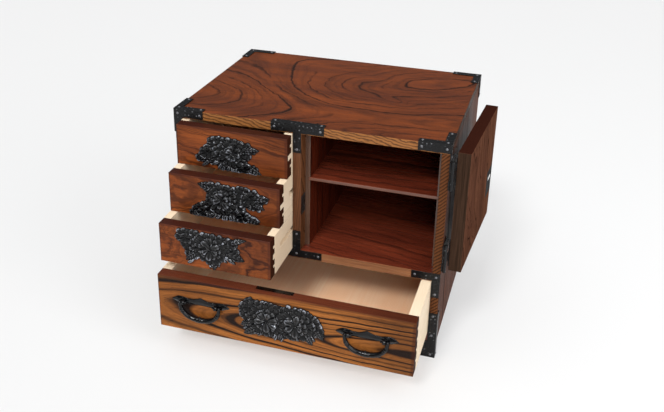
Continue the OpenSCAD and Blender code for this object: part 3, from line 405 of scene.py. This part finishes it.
def iron(name, dents=1.0, dots=0.0, base=(13, 13, 14), wear_and_glint_tone=(50, 52, 56), roughness=0.34,
         specular=0.22, painted_crest_glints=False, grain=0.2):
    """Hammered iron blackened with lacquer. The high spots of the hammering are polished bright by wear,
    toward wear_and_glint_tone; with painted_crest_glints it is instead the peaks that the mesh records
    that take this tone, as a painted highlight, and they are glossier too. dots is the strength of a
    pattern of small beads chased in, whose lighter tone is a painted glint, and grain that of the
    casting skin."""
    t = Tree(name)
    place = t.place()
    blows = t.add("TexVoronoi", {"Vector": place, "Scale": 240.0, "Randomness": 0.9,
                                 "Smoothness": 0.6}, feature="SMOOTH_F1").outputs["Distance"]
    beads = chased_beads(t, place)
    grit = t.noise(place, 1700.0, 3.0, 0.6).outputs[0]
    cloud = t.noise(place, 45.0, 3.0, 0.6).outputs[0]
    # On the relief, the peaks that the mesh records are painted light in patches, as highlights.
    if painted_crest_glints:
        glint_crest_share = t.add("Attribute", attribute_name="raised").outputs["Fac"]
        shine = t.math("MULTIPLY_ADD", t.smooth(glint_crest_share, 0.0, 0.55), 2.1 * specular, 0.6 * specular)
        patchy = t.math("MULTIPLY_ADD", t.smooth(cloud, 0.4, 0.62), 1.5, 0.4)
        wear_and_glint = t.times(t.smooth(glint_crest_share, 0.15, 0.9), patchy)
    else:
        shine = specular
        wear_and_glint = t.times(t.smooth(blows, 0.45, 0.1), t.smooth(cloud, 0.42, 0.68))
    # Polished wear on the hammered high spots; on the relief's peaks this light tone is a painted highlight.
    colour = t.blend(t.times(wear_and_glint, 0.45), srgb(*base), srgb(*wear_and_glint_tone))
    # Painted glints: the chased beads are coloured light.
    colour = t.blend(t.times(t.smooth(beads, 0.5, 1.0), 1.2 * dots), colour, BEAD_GLINT_TONE)
    colour = t.blend(t.times(t.smooth(grit, 0.55, 0.75), 0.3), colour, GRIT_TONE)
    rough = t.math("MULTIPLY_ADD", cloud, 0.2, roughness - 0.1)
    rough = t.math("MULTIPLY_ADD", grit, 0.08, rough)
    normal = t.bump(blows, 1.4 * MM, 0.5 * dents)
    normal = t.bump(beads, 1.6 * MM, dots, normal)
    normal = t.bump(grit, 0.12 * MM, grain, normal)
    return t.surface(colour, rough, normal, Specular_IOR_Level=shine)


def steel(name):
    """Filed steel with fine scratches."""
    t = Tree(name)
    place = t.place()
    scratches = t.noise(t.stretched(place, (60, 60, 2600)), 1.0, 2.0, 0.7).outputs[0]
    cloud = t.noise(place, 150.0, 3.0, 0.6).outputs[0]
    colour = t.blend(t.smooth(cloud, 0.35, 0.7), srgb(196, 194, 190), srgb(226, 226, 224))
    rough = t.math("MULTIPLY_ADD", scratches, 0.16, 0.2)
    return t.surface(colour, rough, t.bump(scratches, 0.04 * MM, 0.4), Metallic=0.9)


strap_iron = iron("strap_iron", dots=0.25)
lock_iron = iron("lock_iron", dents=0.3, roughness=0.6, specular=0.04)
# The nail heads are a lighter grey: a painted glint on each domed head.
nail_glint_iron = iron("nail_glint_iron", dents=0.2, base=(84, 84, 88), wear_and_glint_tone=(150, 150, 154), specular=0.5)
# The light tone on the relief's peaks is a painted highlight.
relief_iron = iron("relief_iron", dents=1.1, base=(6, 6, 7), wear_and_glint_tone=(142, 146, 156), roughness=0.08,
                   specular=0.28, painted_crest_glints=True, grain=0.02)
handle_iron = iron("handle_iron", dents=0.3, base=(4, 4, 5), wear_and_glint_tone=(20, 21, 24), roughness=0.06,
                   specular=0.26, grain=0.01)
bolt_steel = steel("bolt_steel")


# Finishes of the carried-over nodes

FINISH = {
    top_wood: ["top_panel"],
    side_wood: ["left_side_panel", "right_side_panel"],
    door_wood: ["door_panel"],
    inner_wood: ["bottom_panel"],
    rail_wood: ["middle_panel", "front_apron", "rear_apron"],
    divider_wood: ["divider"],
    lining_wood: ["left_liner", "right_liner"],
    shelf_wood: ["shelf"],
    back_wood: ["back_panel"],
    pale_side: ["drawer_runners"],
    pale_bottom: [],
    pale_back: [],
    strap_iron: ["front_corner_irons", "rear_corner_irons", "top_tee_iron", "divider_foot_iron",
                 "rail_end_irons", "foot_irons", "strike_plate", "hinge_side_leaves",
                 "hinge_door_leaves", "hinge_pins", "door_escutcheon"],
    lock_iron: ["door_lock_case"],
    nail_glint_iron: ["case_nails", "door_nails"],
    handle_iron: ["large_drawer_lock_strip", "handle_posts", "handle_plates", "left_bail", "right_bail"],
    bolt_steel: ["door_lock_bolt"],
    relief_iron: [],
}
for size, finish in front_wood.items():
    FINISH[finish] = [size + "_drawer_front"]
    FINISH[pale_side] += [size + "_drawer_left_side", size + "_drawer_right_side"]
    FINISH[pale_bottom].append(size + "_drawer_bottom")
    FINISH[pale_back].append(size + "_drawer_back")
    FINISH[relief_iron].append(size + "_drawer_ornament")
for finish, names in FINISH.items():
    for name in names:
        slots = nodes[name].data.materials
        slots.clear()
        slots.append(finish)


def ease(name, width):
    """Rounds a piece's sharp edges a little."""
    join = nodes[name].modifiers.new("join", "WELD")
    join.merge_threshold = 0.02 * MM
    round_off = nodes[name].modifiers.new("ease", "BEVEL")
    round_off.width = width * MM
    round_off.segments = 2
    round_off.limit_method = "ANGLE"
    round_off.angle_limit = math.radians(40)


for name in ("top_panel", "left_side_panel", "right_side_panel", "door_panel", "divider", "shelf",
             "upper_drawer_front", "middle_drawer_front", "lower_drawer_front", "large_drawer_front"):
    ease(name, 0.8)
for name in ("front_corner_irons", "rear_corner_irons", "top_tee_iron", "divider_foot_iron",
             "rail_end_irons", "foot_irons", "handle_posts"):
    ease(name, 0.35)


# Peony relief

def linked(name, data):
    """A new object in the scene."""
    made = bpy.data.objects.new(name, data)
    bpy.context.scene.collection.objects.link(made)
    return made


def evened(points, border):
    """Draws the points of a border toward their neighbours on it, so that it runs smoothly."""
    for _ in range(4):
        total = np.zeros_like(points)
        number = np.zeros(len(points))
        for a, b in ((0, 1), (1, 0)):
            np.add.at(total, border[:, a], points[border[:, b]])
            np.add.at(number, border[:, a], 1)
        rim = number > 0
        points[rim] = 0.5 * points[rim] + 0.5 * total[rim] / number[rim, None]
    return points


class Relief:
    """Heights over a flat front. x runs to the right and z up from the front's middle, in
    millimetres, and a height of zero is bare wood."""

    LOWEST = 0.8
    HIGHEST = 6.4
    BED = 0.9
    CROWN = 6.2

    def __init__(self, half_width, half_height, step, seed=0):
        self.step = step
        across = np.arange(-half_width, half_width + step, step)
        up = np.arange(-half_height, half_height + step, step)
        self.x, self.z = np.meshgrid(across, up)
        self.height = np.zeros_like(self.x)
        self.random = np.random.default_rng(seed)

    def turned(self, x, z, direction):
        """Distances along and across a direction, from the point x, z."""
        turn = math.radians(direction)
        along = (self.x - x) * math.cos(turn) + (self.z - z) * math.sin(turn)
        across = -(self.x - x) * math.sin(turn) + (self.z - z) * math.cos(turn)
        return along, across

    def cover(self, inside, height):
        """Lays a form over what is there."""
        self.height = np.where(inside, np.clip(height, self.LOWEST, self.HIGHEST), self.height)

    def leaf(self, x, z, direction, length, width, high=3.8):
        """Pointed leaf with a toothed edge, a sunk midrib and veins that slant to the tip."""
        u, v = self.turned(x, z, direction)
        share = np.clip(u / length, 0, 1)
        v = v - 0.05 * length * np.sin(share * math.pi) * self.random.choice([-1, 1])
        body = np.sin(math.pi * share ** 0.72) ** 0.85
        teeth = 1 - 0.2 * ((share * 5.5) % 1.0) ** 1.5
        half = np.maximum(width / 2 * body * teeth, 1e-3)
        side = np.abs(v) / half
        inside = (u > 0) & (u < length) & (side < 1)
        dome = np.sqrt(np.clip(1 - side ** 2, 0, 1))
        veins = np.cos(2 * math.pi * (u - 0.9 * np.abs(v)) / length * 6)
        rise = (high - self.BED) * (0.35 + 0.65 * np.sin(math.pi * share ** 0.8))
        height = self.BED + rise * dome + 0.25 * veins * dome
        self.cover(inside, height - 0.9 * np.exp(-(v / 0.7) ** 2))

    def petal(self, x, z, direction, length, width, high):
        """Petal whose root is at x, z: narrow and low there, broad and bulging at its tip."""
        u, v = self.turned(x, z, direction)
        share = np.clip(u / length, 0, 1)
        half = np.maximum(width / 2 * np.sin(math.pi * share ** 1.5) ** 0.55, 1e-3)
        side = np.abs(v) / half
        inside = (u > 0) & (u < length) & (side < 1)
        dome = np.sqrt(np.clip(1 - side ** 2.2, 0, 1))
        swell = share ** 0.8 * np.sqrt(np.clip(1 - (np.clip(share - 0.7, 0, 1) / 0.3) ** 2, 0, 1))
        rise = high - self.BED
        crease = 0.1 * rise * np.exp(-(v / (0.12 * width)) ** 2)
        self.cover(inside, self.BED + rise * dome * (0.25 + 0.75 * swell) - crease)

    def knob(self, x, z, direction, size, high):
        """Small petal that ends in a rounded, rolled lip."""
        self.petal(x, z, direction, 1.25 * size, size, high)

    def ground(self, outline):
        """Low bed of metal inside a closed outline."""
        inside = np.zeros(self.x.shape, bool)
        for (xa, za), (xb, zb) in zip(outline, outline[1:] + outline[:1]):
            spans = (za > self.z) != (zb > self.z)
            rise = zb - za if zb != za else 1.0
            inside ^= spans & (self.x < xa + (xb - xa) * (self.z - za) / rise)
        self.cover(inside, self.BED)
        return inside

    def within(self, inside, x, z):
        """Whether the cell at x, z is inside."""
        row = int((z - self.z[0, 0]) / self.step)
        column = int((x - self.x[0, 0]) / self.step)
        return row < len(inside) and column < len(inside[0]) and inside[row, column]

    def fill(self, inside, x, z, size=9.5):
        """Rolled lips all over an area, turned away from the point x, z."""
        rows = np.arange(self.z.min(), self.z.max(), 0.85 * size)
        for number, up in enumerate(rows):
            for across in np.arange(self.x.min() + number % 2 * size / 2, self.x.max(), size):
                away = math.atan2(up - z, across - x)
                tip = (across + size * math.cos(away), up + size * math.sin(away))
                if self.within(inside, across, up) and self.within(inside, *tip):
                    self.knob(across, up, math.degrees(away) + self.random.uniform(-40, 40),
                              size * self.random.uniform(0.85, 1.15), self.random.uniform(3.4, 4.8))

    def ruffle(self, outline, size=9.0):
        """Rolled lips side by side along a closed outline, turned outward, and pointed leaves
        along its lower edge."""
        middle = np.mean(outline, axis=0)
        outline = np.array(outline + outline[:1], float)
        for a, b in zip(outline[:-1], outline[1:]):
            count = max(1, round(float(np.hypot(*(b - a))) / (0.8 * size)))
            for k in range(count):
                spot = a + (b - a) * (k + 0.5) / count
                spot = spot + (middle - spot) / np.hypot(*(middle - spot)) * size * 1.2
                heading = math.degrees(math.atan2(*(spot - middle)[::-1]))
                heading += self.random.uniform(-30, 30)
                scale = self.random.uniform(0.85, 1.2)
                if math.sin(math.radians(heading)) < -0.35:
                    root = spot - (spot - middle) * 0.12
                    self.leaf(*root, heading, 2.1 * size * scale, 1.05 * size, 4.6)
                else:
                    high = self.random.uniform(3.2, 4.6)
                    self.petal(*spot, heading, 1.3 * size * scale, 1.25 * size, high)

    def blossom(self, x, z, radius, turn, large):
        """Rings of rolled lips round a hollow heart with a few large, smooth petals."""
        size = 9.8 + 0.05 * radius
        ring = radius
        number = 0
        while ring > 0.4 * radius:
            count = max(5, round(2 * math.pi * ring / size))
            for k in range(count):
                jitter = self.random.uniform(-1, 1, 3)
                direction = turn + 23 * number + 360 * (k + 0.2 * jitter[0]) / count
                away = math.radians(direction)
                out = ring - 1.2 * size
                self.knob(x + out * math.cos(away), z + out * math.sin(away),
                          direction + 16 * jitter[1], size * (1 + 0.12 * jitter[2]),
                          min(self.CROWN, 3.8 + 0.7 * number))
            ring -= 0.8 * size
            number += 1
        for k in range(large):
            jitter = self.random.uniform(-1, 1, 2)
            length = radius * 0.62 * (1 + 0.25 * jitter[1])
            self.petal(x, z, turn + 62 * k + 15 * jitter[0], length, radius * 0.48, self.CROWN)
        self.cover(np.hypot(self.x - x, self.z - z) < 0.1 * radius, self.BED)

    def glint_crests(self):
        """How far each point stands out from what is round it, from 0 to 1, which places the painted
        highlights on the relief.
        """
        soft = self.height
        for _ in range(30):
            soft = (soft + np.roll(soft, 1, 0) + np.roll(soft, -1, 0) + np.roll(soft, 1, 1)
                    + np.roll(soft, -1, 1)) / 5
        return np.clip((self.height - soft) / 1.2, 0, 1) * np.clip((self.height - 1.6) / 2, 0, 1)

    def mesh(self, name, place):
        """Shell over every cell that stands above the wood, open toward the wood: relief in front and a rim
        back to the wood. Its points carry how far they stand out, which places the painted highlights."""
        h = self.height
        columns = h.shape[1]
        solid = (h[:-1, :-1] > 0) & (h[1:, :-1] > 0) & (h[:-1, 1:] > 0) & (h[1:, 1:] > 0)
        row, column = np.nonzero(solid)
        corner = row * columns + column
        quads = np.stack([corner, corner + 1, corner + columns + 1, corner + columns], 1)
        used, index = np.unique(quads, return_inverse=True)
        quads = index.reshape(-1, 4)
        edges = np.concatenate([quads[:, [0, 1]], quads[:, [1, 2]], quads[:, [2, 3]], quads[:, [3, 0]]])
        key = edges.min(1) * len(used) + edges.max(1)
        _, first, times = np.unique(key, return_index=True, return_counts=True)
        border = edges[first[times == 1]]
        front = np.stack([self.x.ravel()[used], -h.ravel()[used], self.z.ravel()[used]], 1)
        front = evened(front, border)
        rim = np.unique(border)
        below = np.full(len(front), -1)
        below[rim] = len(front) + np.arange(len(rim))
        base = front[rim] * (1, 0, 1)
        walls = np.stack([border[:, 1], border[:, 0], below[border[:, 0]], below[border[:, 1]]], 1)
        points = np.concatenate([front, base]) * MM + np.array(place)
        made = bpy.data.meshes.new(name)
        made.from_pydata(points.tolist(), [], quads.tolist() + walls.tolist())
        made.shade_smooth()
        # How far each point stands out sets where the relief is painted light as a highlight.
        glint_marks = np.concatenate([self.glint_crests().ravel()[used], np.zeros(len(base))])
        made.attributes.new("raised", "FLOAT", "POINT").data.foreach_set("value", glint_marks)
        return linked(name, made)


def dress(piece, body, finish, slot, *replaced):
    """Gives a new piece its finish and its body, and hides the nodes that it stands for. slot is not used.
    """
    piece.data.materials.append(finish)
    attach(piece, body)
    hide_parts(*replaced)


# Each ornament, in millimetres from its front's middle: its outline, then its leaves by root,
# direction, length and width, then its blossoms by middle, radius, turn and large petals. The
# lips that fill the outline turn away from the last blossom.
SPRAYS = {
    "upper": {
        "outline": [(-65, -24), (-58, -8), (-47, 2), (-41, 21), (-27, 26), (-6, 25), (15, 23), (32, 17),
                    (46, 9), (35, -5), (24, -21), (41, -24), (55, -37), (34, -38), (10, -38), (-15, -38),
                    (-29, -29), (-43, -24)],
        "leaves": [(18, 6, 4, 34, 14), (24, -26, -18, 34, 12), (-36, -14, 196, 32, 15)],
        "blossoms": [(-42, -8, 13, 0, 0), (24, -30, 11, 30, 0), (4, -4, 25, 150, 4)]},
    "middle": {
        "outline": [(-36, 24), (-23, 29), (-2, 29), (22, 28), (42, 30), (59, 25), (69, 19), (80, 15),
                    (72, 6), (70, -7), (62, -7), (48, -4), (28, -6), (24, -13), (48, -18), (62, -33),
                    (41, -36), (13, -37), (-11, -36), (-32, -35), (-62, -36), (-57, -24), (-39, -13),
                    (-24, -7), (-33, 2), (-23, 13)],
        "leaves": [(-12, 18, 168, 36, 17), (50, 12, 6, 34, 15), (50, 2, -18, 26, 14),
                   (34, -22, -22, 34, 14), (-36, -28, 196, 30, 15)],
        "blossoms": [(48, 12, 13, 0, 0), (-40, -28, 10, 0, 0), (34, -26, 11, 40, 0), (-3, 0, 28, -40, 5)]},
    "lower": {
        "outline": [(-68, 25), (-64, 31), (-55, 33), (-40, 33), (-24, 32), (-14, 32), (-4, 32), (3, 29),
                    (19, 31), (30, 29), (36, 27), (52, 30), (45, 22), (38, 18), (43, 11), (47, 2),
                    (50, -6), (40, -8), (26, -8), (12, -6), (9, -18), (3, -25), (-1, -32), (-5, -28),
                    (-9, -21), (-10, -15), (-23, -16), (-39, -19), (-47, -26), (-50, -24), (-53, -12),
                    (-52, -5), (-60, 3), (-63, 11), (-68, 14)],
        "leaves": [(28, 20, 20, 34, 12), (14, 6, -20, 44, 20), (-2, -8, -88, 30, 18),
                   (-30, -6, 222, 30, 17)],
        "blossoms": [(-50, 18, 12, 0, 0), (14, 14, 15, 60, 3), (-6, 4, 30, 150, 5)]},
    "large": {
        "outline": [(-76, 10), (-74, 23), (-65, 38), (-55, 40), (-42, 37), (-23, 37), (-3, 36), (16, 35),
                    (32, 35), (48, 33), (57, 28), (63, 21), (71, 12), (76, -8), (68, -9), (67, 0),
                    (61, -11), (51, -24), (46, -16), (35, -24), (22, -24), (9, -28), (0, -32),
                    (-14, -30), (-30, -28), (-43, -28), (-54, -32), (-58, -25), (-70, -19), (-66, -8),
                    (-69, 0)],
        "leaves": [(60, 4, -56, 24, 13), (42, -8, -62, 26, 14), (-44, -16, 216, 30, 17),
                   (-50, -8, 200, 26, 15), (0, -16, -98, 18, 14)],
        "blossoms": [(-56, 22, 14, 0, 0), (24, 2, 31, 80, 4), (-27, 2, 32, 195, 6)]},
}
SPRAY_HALF_WIDTH = 86
SPRAY_STEP = 0.5
EDGE_GAP = 0.6
FIRST_SEED = 30
for number, (size, spray) in enumerate(SPRAYS.items()):
    low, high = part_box(size + "_drawer_front")
    middle = (low + high) / 2
    half = (high.z - low.z) / 2 / MM - EDGE_GAP
    relief = Relief(SPRAY_HALF_WIDTH, half, SPRAY_STEP, FIRST_SEED + number)
    bed = relief.ground(spray["outline"])
    relief.fill(bed, *spray["blossoms"][-1][:2])
    for leaf in spray["leaves"]:
        relief.leaf(*leaf)
    relief.ruffle(spray["outline"])
    for leaf in spray["leaves"]:
        relief.leaf(*leaf)
    for blossom in spray["blossoms"]:
        relief.blossom(*blossom)
    piece = relief.mesh(size + "_peony", (middle.x, low.y, middle.z))
    dress(piece, size + "_drawer", relief_iron, "black_iron", size + "_drawer_ornament")


# Handles

BAIL_DROP = 30.0
ROD_RADIUS = 3.0
ROD_SWELL = 1.5
EYE_RADIUS = 2.9
EYE_GAP = 0.2
PIN_RADIUS = 1.7
PIN_OUTER = 2
PIN_INNER = 12
BEAD_RADIUS = 1.9
BEAD_RISE = 5.2
PLATE_STEP = 0.5
PLATE_HALF_HEIGHT = 14
TIP_START = 28
TIP_LENGTH = 12


def bail_axis_z():
    low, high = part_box("handle_posts")
    return (low.z + high.z) / 2


def handle_plates():
    """Both plates: pointed, domed ends and a bar that rises to a peak."""
    low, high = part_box("handle_plates")
    middle_x = (low.x + high.x) / 2
    bail_low, bail_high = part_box("right_bail")
    right_x = bail_low.x / 2 + bail_high.x / 2
    reach = (high.x - right_x) / MM
    relief = Relief(high.x / MM + 1, PLATE_HALF_HEIGHT, PLATE_STEP)
    # The outline's upper and lower edge: distance from the plate's middle, and height
    upper = [(0, 11.2), (5, 9), (13, 6), (24, 5.4), (30, 7.2), (36, 8), (42, 7.6), (48, 4.6), (reach, 0)]
    lower = [(0, -4), (20, -4.4), (30, -5.3), (36, -6.8), (42, -5.4), (48, -2.6), (reach, 0)]
    along = np.abs(np.abs(relief.x) - right_x / MM)
    above = np.interp(along, *zip(*upper))
    below = np.interp(along, *zip(*lower))
    share = np.clip((relief.z - below) / np.maximum(above - below, 1e-3), 0, 1)
    inside = (along < reach) & (relief.z < above) & (relief.z > below)
    ridge = 1 - np.abs(2 * share - 1)
    bar = 1.0 + 1.5 * ridge ** 0.7
    tip = 1.0 + 2.4 * ridge * np.clip((reach - along) / TIP_LENGTH, 0, 1)
    relief.cover(inside, np.where(along > TIP_START, tip, bar))
    return relief.mesh("bail_plates", (middle_x, high.y, bail_axis_z()))


def swept(centres, radii, sides=16):
    """Vertices and faces of a round rod through points in a plane that faces -Y."""
    centres = np.array(centres, float)
    heading = np.gradient(centres, axis=0)
    heading /= np.linalg.norm(heading, axis=1)[:, None]
    out = np.stack([-heading[:, 2], np.zeros(len(centres)), heading[:, 0]], 1)
    turn = 2 * np.pi * np.arange(sides) / sides
    ring = np.cos(turn)[None, :, None] * out[:, None, :] + np.sin(turn)[None, :, None] * np.array([0, 1, 0])
    points = (centres[:, None, :] + np.array(radii)[:, None, None] * ring).reshape(-1, 3)
    faces = []
    for i in range(len(centres) - 1):
        for k in range(sides):
            a, b = i * sides + k, i * sides + (k + 1) % sides
            faces.append((a, b, b + sides, a + sides))
    faces.append(tuple(range(sides))[::-1])
    faces.append(tuple((len(centres) - 1) * sides + k for k in range(sides)))
    return points, faces


def ball(x, z, radius):
    """Vertices and faces of a ball round the point x, z."""
    bow = np.linspace(-1, 1, 9)
    centres = np.stack([x + radius * bow, 0 * bow, z + 0 * bow], 1)
    return swept(centres, radius * np.sqrt(1 - 0.97 * bow ** 2), 12)


def bail_rod(half, thickest):
    """The bent rod, from eye to eye. It swells toward its middle and has rings turned on it."""
    turn = np.linspace(0, math.pi, 121)
    across = -half * np.sign(np.cos(turn)) * np.abs(np.cos(turn)) ** 0.86
    down = -BAIL_DROP * np.sin(turn) ** 0.86
    run = np.concatenate([[0], np.cumsum(np.hypot(np.diff(across), np.diff(down)))])
    radius = ROD_RADIUS + ROD_SWELL * np.sin(turn) ** 1.2
    for place, width, extra in ((0.13, 1.3, 0.9), (0.17, 1.3, 0.6), (0.455, 1.2, 0.9), (0.5, 2.2, 1.3)):
        for spot in {place, 1 - place}:
            radius = radius + extra * np.exp(-((run - spot * run[-1]) / width) ** 2)
    return swept(np.stack([across, 0 * across, down], 1), np.minimum(radius, thickest))


def bail(name, node):
    """Rod, an eye and a pin at each end, and a bead in the middle."""
    low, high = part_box(node)
    half = (high.x - low.x) / 2 / MM - EYE_RADIUS - EYE_GAP
    parts = [bail_rod(half, (high.y - low.y) / 2 / MM)]
    for side in (-1, 1):
        parts.append(ball(side * half, 0, EYE_RADIUS))
        pin = side * np.linspace(half - PIN_OUTER, half - PIN_INNER, 3)
        parts.append(swept(np.stack([pin, 0 * pin, 0 * pin], 1), np.full(3, PIN_RADIUS), 12))
    parts.append(ball(0, BEAD_RISE - BAIL_DROP, BEAD_RADIUS))
    points = np.zeros((0, 3))
    faces = []
    for more, sides in parts:
        faces += [tuple(index + len(points) for index in face) for face in sides]
        points = np.concatenate([points, more])
    middle = ((low.x + high.x) / 2, (low.y + high.y) / 2, bail_axis_z())
    mesh = bpy.data.meshes.new(name)
    mesh.from_pydata((points * MM + np.array(middle)).tolist(), [], faces)
    mesh.shade_smooth()
    mesh.validate()
    return linked(name, mesh)


dress(handle_plates(), "large_drawer", handle_iron, "black_iron", "handle_plates")
for side in ("left", "right"):
    dress(bail(side + "_rod", side + "_bail"), side + "_handle", handle_iron, "black_iron", side + "_bail")


# Floor, light and camera

FLOOR_HALF = 14
FLOOR_SEEN = (0.4, 0.4, 0.4, 1)
FLOOR_LIFT = 0.405
FLOOR_TRUE = (0.8, 0.8, 0.8, 1)
WORLD_COLOUR = (0.9, 0.92, 0.95, 1)
WORLD_STRENGTH = 0.2


def make_floor():
    """Pale floor. The camera sees it lifted toward white, with the chest's soft shadow on it."""
    t = Tree("studio_floor")
    lifted = t.add("AddShader", {0: t.add("BsdfDiffuse", {"Color": FLOOR_SEEN}).outputs[0],
                                 1: t.add("Emission", {"Strength": FLOOR_LIFT}).outputs[0]})
    plain = t.add("BsdfDiffuse", {"Color": FLOOR_TRUE})
    both = t.add("MixShader", {0: t.add("LightPath").outputs["Is Camera Ray"],
                               1: plain.outputs[0], 2: lifted.outputs[0]})
    t.add("OutputMaterial", {0: both.outputs[0]})
    mesh = bpy.data.meshes.new("floor")
    corners = [(-FLOOR_HALF, -FLOOR_HALF, 0), (FLOOR_HALF, -FLOOR_HALF, 0), (FLOOR_HALF, FLOOR_HALF, 0),
               (-FLOOR_HALF, FLOOR_HALF, 0)]
    mesh.from_pydata(corners, [], [(0, 1, 2, 3)])
    mesh.materials.append(t.material)
    floor = linked("floor", mesh)


def soft_box(name, place, target, size, power):
    """Square area lamp that looks at a target."""
    lamp = bpy.data.lights.new(name, "AREA")
    lamp.size = size
    lamp.energy = power
    thing = linked(name, lamp)
    thing.location = place
    thing.rotation_euler = (Vector(target) - Vector(place)).to_track_quat("-Z", "Y").to_euler()


def daylight(name, heading, strength, spread):
    """Distant lamp. spread is how wide it looks, in degrees."""
    lamp = bpy.data.lights.new(name, "SUN")
    lamp.energy = strength
    lamp.angle = math.radians(spread)
    thing = linked(name, lamp)
    thing.rotation_euler = Vector(heading).to_track_quat("-Z", "Y").to_euler()


make_floor()
soft_box("fill", (1.9, -1.0, 1.7), (0, -0.1, 0.15), 1.4, 30)
daylight("key", (0.45, 2.55, -2.7), 1.8, 14)
daylight("sky", (0.05, 0.2, -1), 1.45, 80)
daylight("window", (-0.3, 0.9, -0.4), 1.1, 30)

world = bpy.data.worlds.new("studio")
world.use_nodes = True
world.node_tree.nodes["Background"].inputs["Color"].default_value = WORLD_COLOUR
world.node_tree.nodes["Background"].inputs["Strength"].default_value = WORLD_STRENGTH
bpy.context.scene.world = world

# The photograph's size, and the focal length and optical centre in its pixels
WIDTH, HEIGHT = 664, 412
FOCAL = 831.2
CENTRE = (331.0, 135.8)
CAMERA_PLACE = (0.3919, -1.3845, 0.9373)
AZIMUTH, ELEVATION, ROLL = (math.radians(v) for v in (16.196, 23.23, -1.245))
ahead = Vector((-math.sin(AZIMUTH) * math.cos(ELEVATION), math.cos(AZIMUTH) * math.cos(ELEVATION),
                -math.sin(ELEVATION)))
level = Vector((math.cos(AZIMUTH), math.sin(AZIMUTH), 0))
right = math.cos(ROLL) * level + math.sin(ROLL) * ahead.cross(level)
down = ahead.cross(right)
lens = bpy.data.cameras.new("camera")
lens.sensor_width = 36
lens.lens = FOCAL * lens.sensor_width / WIDTH
lens.shift_x = 0.5 - CENTRE[0] / WIDTH
lens.shift_y = (CENTRE[1] - HEIGHT / 2) / WIDTH
lens.clip_start = 0.05
lens.clip_end = 60
camera = linked("camera", lens)
camera.matrix_world = Matrix.Translation(CAMERA_PLACE) @ Matrix((right, -down, -ahead)).transposed().to_4x4()
bpy.context.scene.camera = camera
bpy.context.scene.view_settings.view_transform = "Standard"
